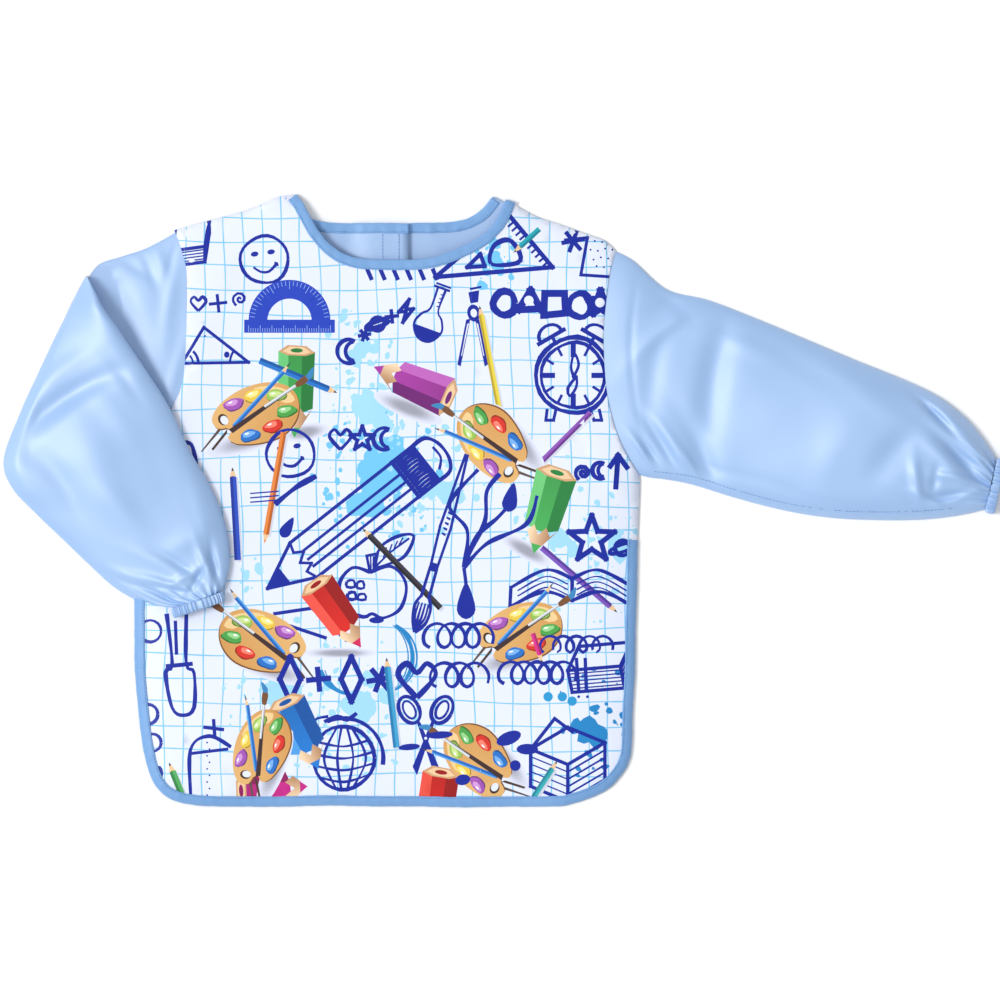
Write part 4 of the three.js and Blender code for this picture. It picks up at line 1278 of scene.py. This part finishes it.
def sleeveSurface(stations, bow, folds, gather, seed, wrap=0.0):
    # stations run from the armhole to the cuff: one edge, the other edge, height, and the lift of both edges
    line = evenly(curveThrough([tuple(map(float, s)) for s in stations], 5), 4)
    pick = random.Random(seed)
    phase = [pick.uniform(0, fullTurn) for _ in range(6)]

    def place(u, v, top):
        ax, ay, bx, by, height, liftA, liftB = along(line, v)
        x, y = mix(ax, bx, u), mix(ay, by, u)
        dx, dy = bow(u)
        fade = max(0, 1 - v / sleeveShape["bowReach"]) ** 2
        x, y = x + dx * fade, y + dy * fade
        lift = mix(liftA, liftB, smooth(u))
        if wrap:
            lift = mix(sleeveShape["floorLift"], lift, smooth(u / wrap))
        if not top:
            return x, y, lift
        crown = (4 * u * (1 - u)) ** sleeveShape["crown"] if 0 < u < 1 else 0
        z = height * crown
        keep = min(1, 4 * u * (1 - u) * 2.2)
        z += keep * foldAt(folds, x, y)
        toCuff = max(0.0, 1 - (1 - v) / gather["run"])
        n = gather["count"]
        pucker = (math.sin(n * u * fullTurn + phase[0] + 2 * math.sin(u * 9 + phase[1]))
                  + 0.6 * math.sin(n * 1.7 * u * fullTurn + phase[2] + v * 7))
        z += gather["depth"] * pucker * toCuff ** 2 * min(1, 8 * u * (1 - u))
        z += keep * (0.25 * math.sin(x / 13 + y / 29 + phase[3]) + 0.16 * math.sin(y / 9 - x / 17 + phase[4]))
        return x, y, lift + max(0.5, z)
    return place


def tubePiece(name, place, length, seam=None):
    # the sleeve's top and underside as two grids, joined at both edges
    def ease(u):
        return 0.5 - 0.5 * math.cos(math.pi * u)

    bm = bmesh.new()
    for top in (True, False):
        gridInto(bm, sleeveShape["across"], length, lambda u, v: place(ease(u), v, top))
    bmesh.ops.remove_doubles(bm, verts=bm.verts, dist=sleeveShape["closeAt"] * mm)
    bmesh.ops.recalc_face_normals(bm, faces=bm.faces)
    if seam:
        stitchesInto(bm, seam["path"], seam["z"], sleeveStitch)
    return makeObject(name, bm, [sleeveCloth, threadMaterial])


def closeEdges(place, height=0.9):
    # both sheets meet at the edges, a little over the floor
    def closed(u, v, top):
        x, y, z = place(u, v, top)
        if u <= 0 or u >= 1:
            z = place(u, v, False)[2] + height
        return x, y, z
    return closed


rightStations = [
    (102.5, 229, 125, 24, 10.5, 0.5, 0.5), (122, 219, 137, 20.5, 13.5, 0.5, 0.5),
    (152, 193, 150, 19, 15, 0.5, 0.5), (190, 183, 176, 14, 17, 0.5, 0.5),
    (232, 167, 215, 2, 19.5, 0.5, 0.5), (280, 147, 262, -10, 21.5, 0.5, 0.5),
    (325, 128, 305, -16.5, 23.5, 0.5, 0.5), (372, 109, 350, -18.5, 25, 0.5, 0.5),
    (402, 94, 385, -18, 24.5, 0.5, 0.5), (425, 76, 410, -15.5, 22, 0.5, 0.5),
    (440, 59, 428, -12.5, 18, 0.5, 0.5), (449, 46, 438, -10, 15, 0.5, 0.5),
    (454, 37, 444, -9, 12.5, 0.5, 0.5)]
rightFolds = [
    (195, 112, 60, 13, 80, -5.0), (186, 40, 40, 9, -66, -4.0), (330, 56, 90, 60, 78, 4.0),
    (150, 157, 38, 7, 41, 3.0), (166, 186, 26, 6, 20, -2.6), (150, 190, 26, 7, -40, -2.6),
    (140, 118, 40, 10, 80, -2.2), (129, 46, 17, 3, -57, 2.2), (138, 44, 16, 3, -57, -2.0),
    (148, 52, 26, 4.5, -58, -2.6), (163, 44, 30, 5, -60, 2.8), (176, 30, 18, 3, -62, 1.6),
    (304, 40, 40, 16, 66, 1.6), (360, 43, 30, 13, 45, -4.2), (340, 92, 40, 12, -30, 1.8),
    (381, 18, 20, 5, 98, 3.4), (392, 0, 20, 4, -28, 2.6), (398, 79, 24, 3.6, -45, -5.4),
    (407, 84, 20, 5, -50, 3.2), (423, 38, 30, 6, -47, -7.0), (409, 34, 24, 6, -50, 2.4),
    (436, 44, 24, 5, -58, 2.6), (416, 21, 20, 4, -10, 3.6), (411, 4, 22, 4.4, 8, -4.2),
    (398, 18, 12, 4, 80, -2.4), (430, 6, 18, 3.4, 20, 2.2), (437, 26, 14, 2.6, -40, 2.0),
    (228, 140, 40, 9, -24, 1.4), (230, 20, 60, 6, -14, -1.0), (300, 110, 44, 10, -26, -1.0),
    (120, 140, 58, 3.2, 90, -0.9)]


def armholeBow(points, flip=False):
    # how far the armhole's curve leaves its chord, by the share along it
    line = evenly(curveThrough(points, 4), 4)
    if flip:
        line = line[::-1]
    a, b = line[0], line[-1]

    def bow(u):
        x, y = along(line, u)
        return x - mix(a[0], b[0], u), y - mix(a[1], b[1], u)
    return bow


rightPlace = closeEdges(sleeveSurface(rightStations, armholeBow(rightArmhole, True), rightFolds,
                                      {"run": 0.16, "count": 6, "depth": 1.5}, 51))


def surfaceZ(place, samples=60):
    # height of a sleeve's top at a place, from the nearest of many samples
    cloud = np.array([place(i / samples, j / samples, True)
                      for i in range(samples + 1) for j in range(samples + 1)])

    def z(x, y):
        near = np.argsort((cloud[:, 0] - x) ** 2 + (cloud[:, 1] - y) ** 2)[:4]
        return float(cloud[near, 2].mean())
    return z


rightTop = surfaceZ(rightPlace)
underSeam = {"path": curveThrough([(142, 26), (178, 21), (216, 9), (262, -3), (305, -9.5), (350, -11),
                                   (388, -10), (412, -8)], 6),
             "z": lambda x, y: rightTop(x, y) + sleeveStitch["over"]}
rightSleeve = tubePiece("rightSleeve", rightPlace, 190, underSeam)

leftUpperStations = [
    (-294.5, 246, -326, 24, 10.5, 0.5, 0.5), (-322, 231, -345, 23, 8.5, 0.5, 0.5),
    (-345, 223, -380, 26, 5, 0.5, 0.5), (-366, 216, -415, 31, 3.4, 0.5, 0.5),
    (-376, 204, -447, 36, 2.6, 0.5, 0.5)]
leftUpperFolds = [
    (-352, 180, 66, 15, -58, -5.5), (-312, 224, 20, 4, -70, 1.6), (-322, 214, 22, 4, -66, -1.6),
    (-303, 180, 34, 6, 82, 1.6), (-296, 120, 40, 5, 74, 1.4), (-340, 217, 20, 5, -30, -2.4),
    (-300, 222, 24, 3, 76, -1.2), (-362, 208, 16, 5, 20, -2.0)]
leftUpperPlace = closeEdges(sleeveSurface(leftUpperStations, armholeBow(leftArmhole), leftUpperFolds,
                                          {"run": 0.1, "count": 3, "depth": 0.2}, 52))
leftUpper = tubePiece("leftSleeveUpper", leftUpperPlace, 60)

leftLowerStations = [
    (-379, 205, -377, 203, 2, 5, 11), (-386, 192, -370, 190, 5, 5, 18),
    (-393, 178, -363, 176, 8, 5, 21.5), (-400, 163, -352, 161, 9, 5, 22.5),
    (-408, 147, -342, 146, 10, 5, 22.5), (-423, 115, -321, 115, 12, 5, 21),
    (-438, 82, -303, 86, 13.5, 5, 19), (-454, 38, -284, 46, 15, 5, 17), (-447, 12, -268, 18, 16, 3, 16),
    (-425, -12, -256, -8, 16, 1, 16), (-400, -36, -249, -32, 16, 0.8, 16),
    (-375, -60, -247, -54, 15, 0.8, 16), (-350, -82, -249, -68, 14, 1.5, 16),
    (-322, -96, -252, -78, 13, 5, 16), (-299, -99.5, -256, -84, 12, 12, 16)]
leftLowerFolds = [
    (-390, 98, 46, 10, 30, -5.6), (-418, 76, 34, 10, 40, -3.0), (-404, 118, 36, 8, 36, 1.8),
    (-368, 30, 58, 22, -72, 3.6), (-345, -10, 30, 13, -50, 2.6), (-312, 26, 52, 15, -66, -1.2),
    (-420, 34, 34, 12, -40, -2.2), (-398, 14, 40, 10, -60, -1.8), (-274, 8, 40, 9, -74, 1.8),
    (-352, 78, 40, 12, -50, 1.6), (-282, -34, 28, 10, 30, 2.2), (-261, -60, 19, 3.6, 102, -5.0),
    (-270, -58, 20, 4, 112, 3.2), (-277, -72, 14, 3, 60, -3.4), (-288, -70, 20, 4, 30, 2.2),
    (-317, -84, 26, 3, -24, -3.4), (-308, -76, 28, 4, -18, 2.8), (-298, -82, 20, 2.6, -12, -2.8),
    (-330, -76, 24, 5, -30, 1.8), (-292, -60, 24, 4, -34, -2.6), (-312, -58, 30, 6, -28, 1.6),
    (-344, 112, 26, 6, -54, -1.4)]
leftLowerPlace = closeEdges(sleeveSurface(leftLowerStations, lambda u: (0, 0), leftLowerFolds,
                                          {"run": 0.16, "count": 7, "depth": 1.6}, 53, wrap=0.08), 1.2)
leftLower = tubePiece("leftSleeveLower", leftLowerPlace, 190)
print("sleeves made")


casingShape = {"width": 9.0, "wall": 3.4, "shift": 0.0, "gathers": 42, "depth": 0.9, "steps": (320, 14)}
elasticShape = {"width": 4, "wall": 0.8, "shift": 2.5, "gathers": 0, "depth": 0, "steps": (96, 8),
                "inset": 1.7}


def cuffRing(name, first, last, lift, height, away, material, seed, shape):
    # a band round the flattened end of a sleeve; away points out of the sleeve
    wall = shape["wall"]
    pick = random.Random(seed)
    phase = [pick.uniform(0, fullTurn) for _ in range(3)]
    a, b = Vector(first), Vector(last)
    mid, half = (a + b) / 2, (b - a) / 2
    axis = Vector(away).normalized()
    rise = height / 2
    bm = bmesh.new()

    def place(u, v):
        t, s = 2 * math.pi * u, 2 * math.pi * v
        c, w = math.cos(t), math.sin(t)
        c = math.copysign(abs(c) ** 0.8, c)
        w = math.copysign(abs(w) ** 0.7, w)
        n = shape["gathers"]
        ruche = shape["depth"] * (math.sin(n * t + phase[0] + 1.5 * math.sin(3 * t))
                                  + 0.5 * math.sin(1.6 * n * t + phase[1]))
        shareOut = 0.5 - 0.5 * math.cos(s)
        out = math.sin(s)
        bulge = wall / 2 * math.copysign(abs(out) ** 0.7, out) + ruche * (0.6 + 0.4 * out)
        reach = shape["shift"] + shape["width"] * shareOut + (0.35 * ruche if shareOut > 0.5 else 0)
        flat = mid + half * c
        push = half.normalized() * c * bulge
        x, y = flat + push + axis * reach
        z = lift + rise + (rise - wall / 2) * w + bulge * w
        return x, y, max(z, lift - 0.1)

    gridInto(bm, *shape["steps"], place)
    sealed(bm)
    return makeObject(name, bm, [material])


cuffs = {
    "right": dict(first=(454.5, 36.5), last=(444, -8.5), lift=0.4, height=13, away=(0.97, -0.23)),
    "left": dict(first=(-299, -99), last=(-256, -84.5), lift=14, height=13.5, away=(0.3, -0.95))}
casings, elastics = {}, {}
for side, at in cuffs.items():
    casings[side] = cuffRing(side + "CuffCasing", at["first"], at["last"], at["lift"], at["height"],
                             at["away"], sleeveCloth, 61, casingShape)
    inset = elasticShape["inset"]
    elastics[side] = cuffRing(side + "CuffElastic", at["first"], at["last"], at["lift"] + inset,
                              at["height"] - 2 * inset, at["away"], elasticCloth, 62, elasticShape)
print("cuffs made")


for side, label in names.items():
    blendOnFold(backPieces[side], side)
    blendOnFold(backBindings[side], side)
    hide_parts("back_side_" + label, "back_flap_" + label)
    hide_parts("back_side_binding_" + label, "flap_hem_binding_" + label)
    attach(backNeckBindings[side], bodies[side][1])
    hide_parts("flap_neck_binding_" + label)

for piece, body, node, finish in (
        (frontPiece, "garment_body", "front_panel", "printed_front"),
        (hemBinding, "garment_body", "front_hem_binding", "binding_tape"),
        (neckBinding, "garment_body", "front_neck_binding", "binding_tape"),
        (loopTape, "back_flap_outer", "loop_tape", "hook_and_loop"),
        (hookTape, "back_flap_inner", "hook_tape", "hook_and_loop"),
        (leftLower, "sleeve_folded", "left_sleeve_lower", "sleeve_satin"),
        (casings["right"], "sleeve_outstretched", "right_cuff_casing", "sleeve_satin"),
        (elastics["right"], "sleeve_outstretched", "right_cuff_elastic", "cuff_elastic"),
        (casings["left"], "sleeve_folded", "left_cuff_casing", "sleeve_satin"),
        (elastics["left"], "sleeve_folded", "left_cuff_elastic", "cuff_elastic")):
    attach(piece, body)
    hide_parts(node)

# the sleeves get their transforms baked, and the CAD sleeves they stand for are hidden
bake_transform(rightSleeve)
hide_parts("right_sleeve")
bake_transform(leftUpper)
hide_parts("left_sleeve_upper")


studio = {"floor": 1.6, "floorLevel": -0.0002, "lightFrom": (-0.6, 0.02, 0.78), "sun": 1.68, "sunSpread": 20,
          "skyLow": 0.34, "skyHigh": 0.89, "view": 0.915, "cameraHeight": 4}

floorMaterial, floorTree, floorShader = nodeMaterial("paperSweep")
floorGrain = addNode(floorTree, "ShaderNodeTexNoise", Scale=3.0)
floorRamp = addNode(floorTree, "ShaderNodeValToRGB")
floorRamp.color_ramp.elements[0].color = (0.93, 0.93, 0.93, 1)
floorRamp.color_ramp.elements[1].color = (0.96, 0.96, 0.96, 1)
floorTree.links.new(floorGrain.outputs["Fac"], floorRamp.inputs["Fac"])
floorTree.links.new(floorRamp.outputs["Color"], floorShader.inputs["Base Color"])
floorShader.inputs["Roughness"].default_value = 0.9
floorMesh = bmesh.new()
bmesh.ops.create_grid(floorMesh, x_segments=4, y_segments=4, size=studio["floor"] * 2)
floor = makeObject("floor", floorMesh, [floorMaterial])
floor.location.z = studio["floorLevel"]

# a sky that is brighter towards the light, and a soft sun
world = bpy.data.worlds.new("studio")
bpy.context.scene.world = world
world.use_nodes = True
sky = world.node_tree
background = sky.nodes["Background"]
background.inputs["Color"].default_value = (0.97, 0.985, 1.0, 1)
skyPlace = addNode(sky, "ShaderNodeTexCoord")
skySide = addNode(sky, "ShaderNodeVectorMath", operation="DOT_PRODUCT")
skySide.inputs[1].default_value = studio["lightFrom"]
skyLevel = addNode(sky, "ShaderNodeMapRange")
skyLevel.inputs["From Min"].default_value = -0.8
skyLevel.inputs["From Max"].default_value = 0.9
skyLevel.inputs["To Min"].default_value = studio["skyLow"]
skyLevel.inputs["To Max"].default_value = studio["skyHigh"]
sky.links.new(skyPlace.outputs["Generated"], skySide.inputs[0])
sky.links.new(skySide.outputs["Value"], skyLevel.inputs["Value"])
sky.links.new(skyLevel.outputs["Result"], background.inputs["Strength"])

sun = bpy.data.objects.new("key", bpy.data.lights.new("key", "SUN"))
sun.data.energy = studio["sun"]
sun.data.angle = math.radians(studio["sunSpread"])
sun.data.color = (1.0, 0.995, 0.985)
sun.rotation_euler = Vector(studio["lightFrom"]).to_track_quat("Z", "Y").to_euler()
bpy.context.scene.collection.objects.link(sun)

camera = bpy.data.objects.new("camera", bpy.data.cameras.new("camera"))
camera.data.type = "ORTHO"
camera.data.ortho_scale = studio["view"]
camera.location = (0, 0, studio["cameraHeight"])
bpy.context.scene.collection.objects.link(camera)
bpy.context.scene.camera = camera
bpy.context.scene.view_settings.view_transform = "Standard"

print("scene ready")
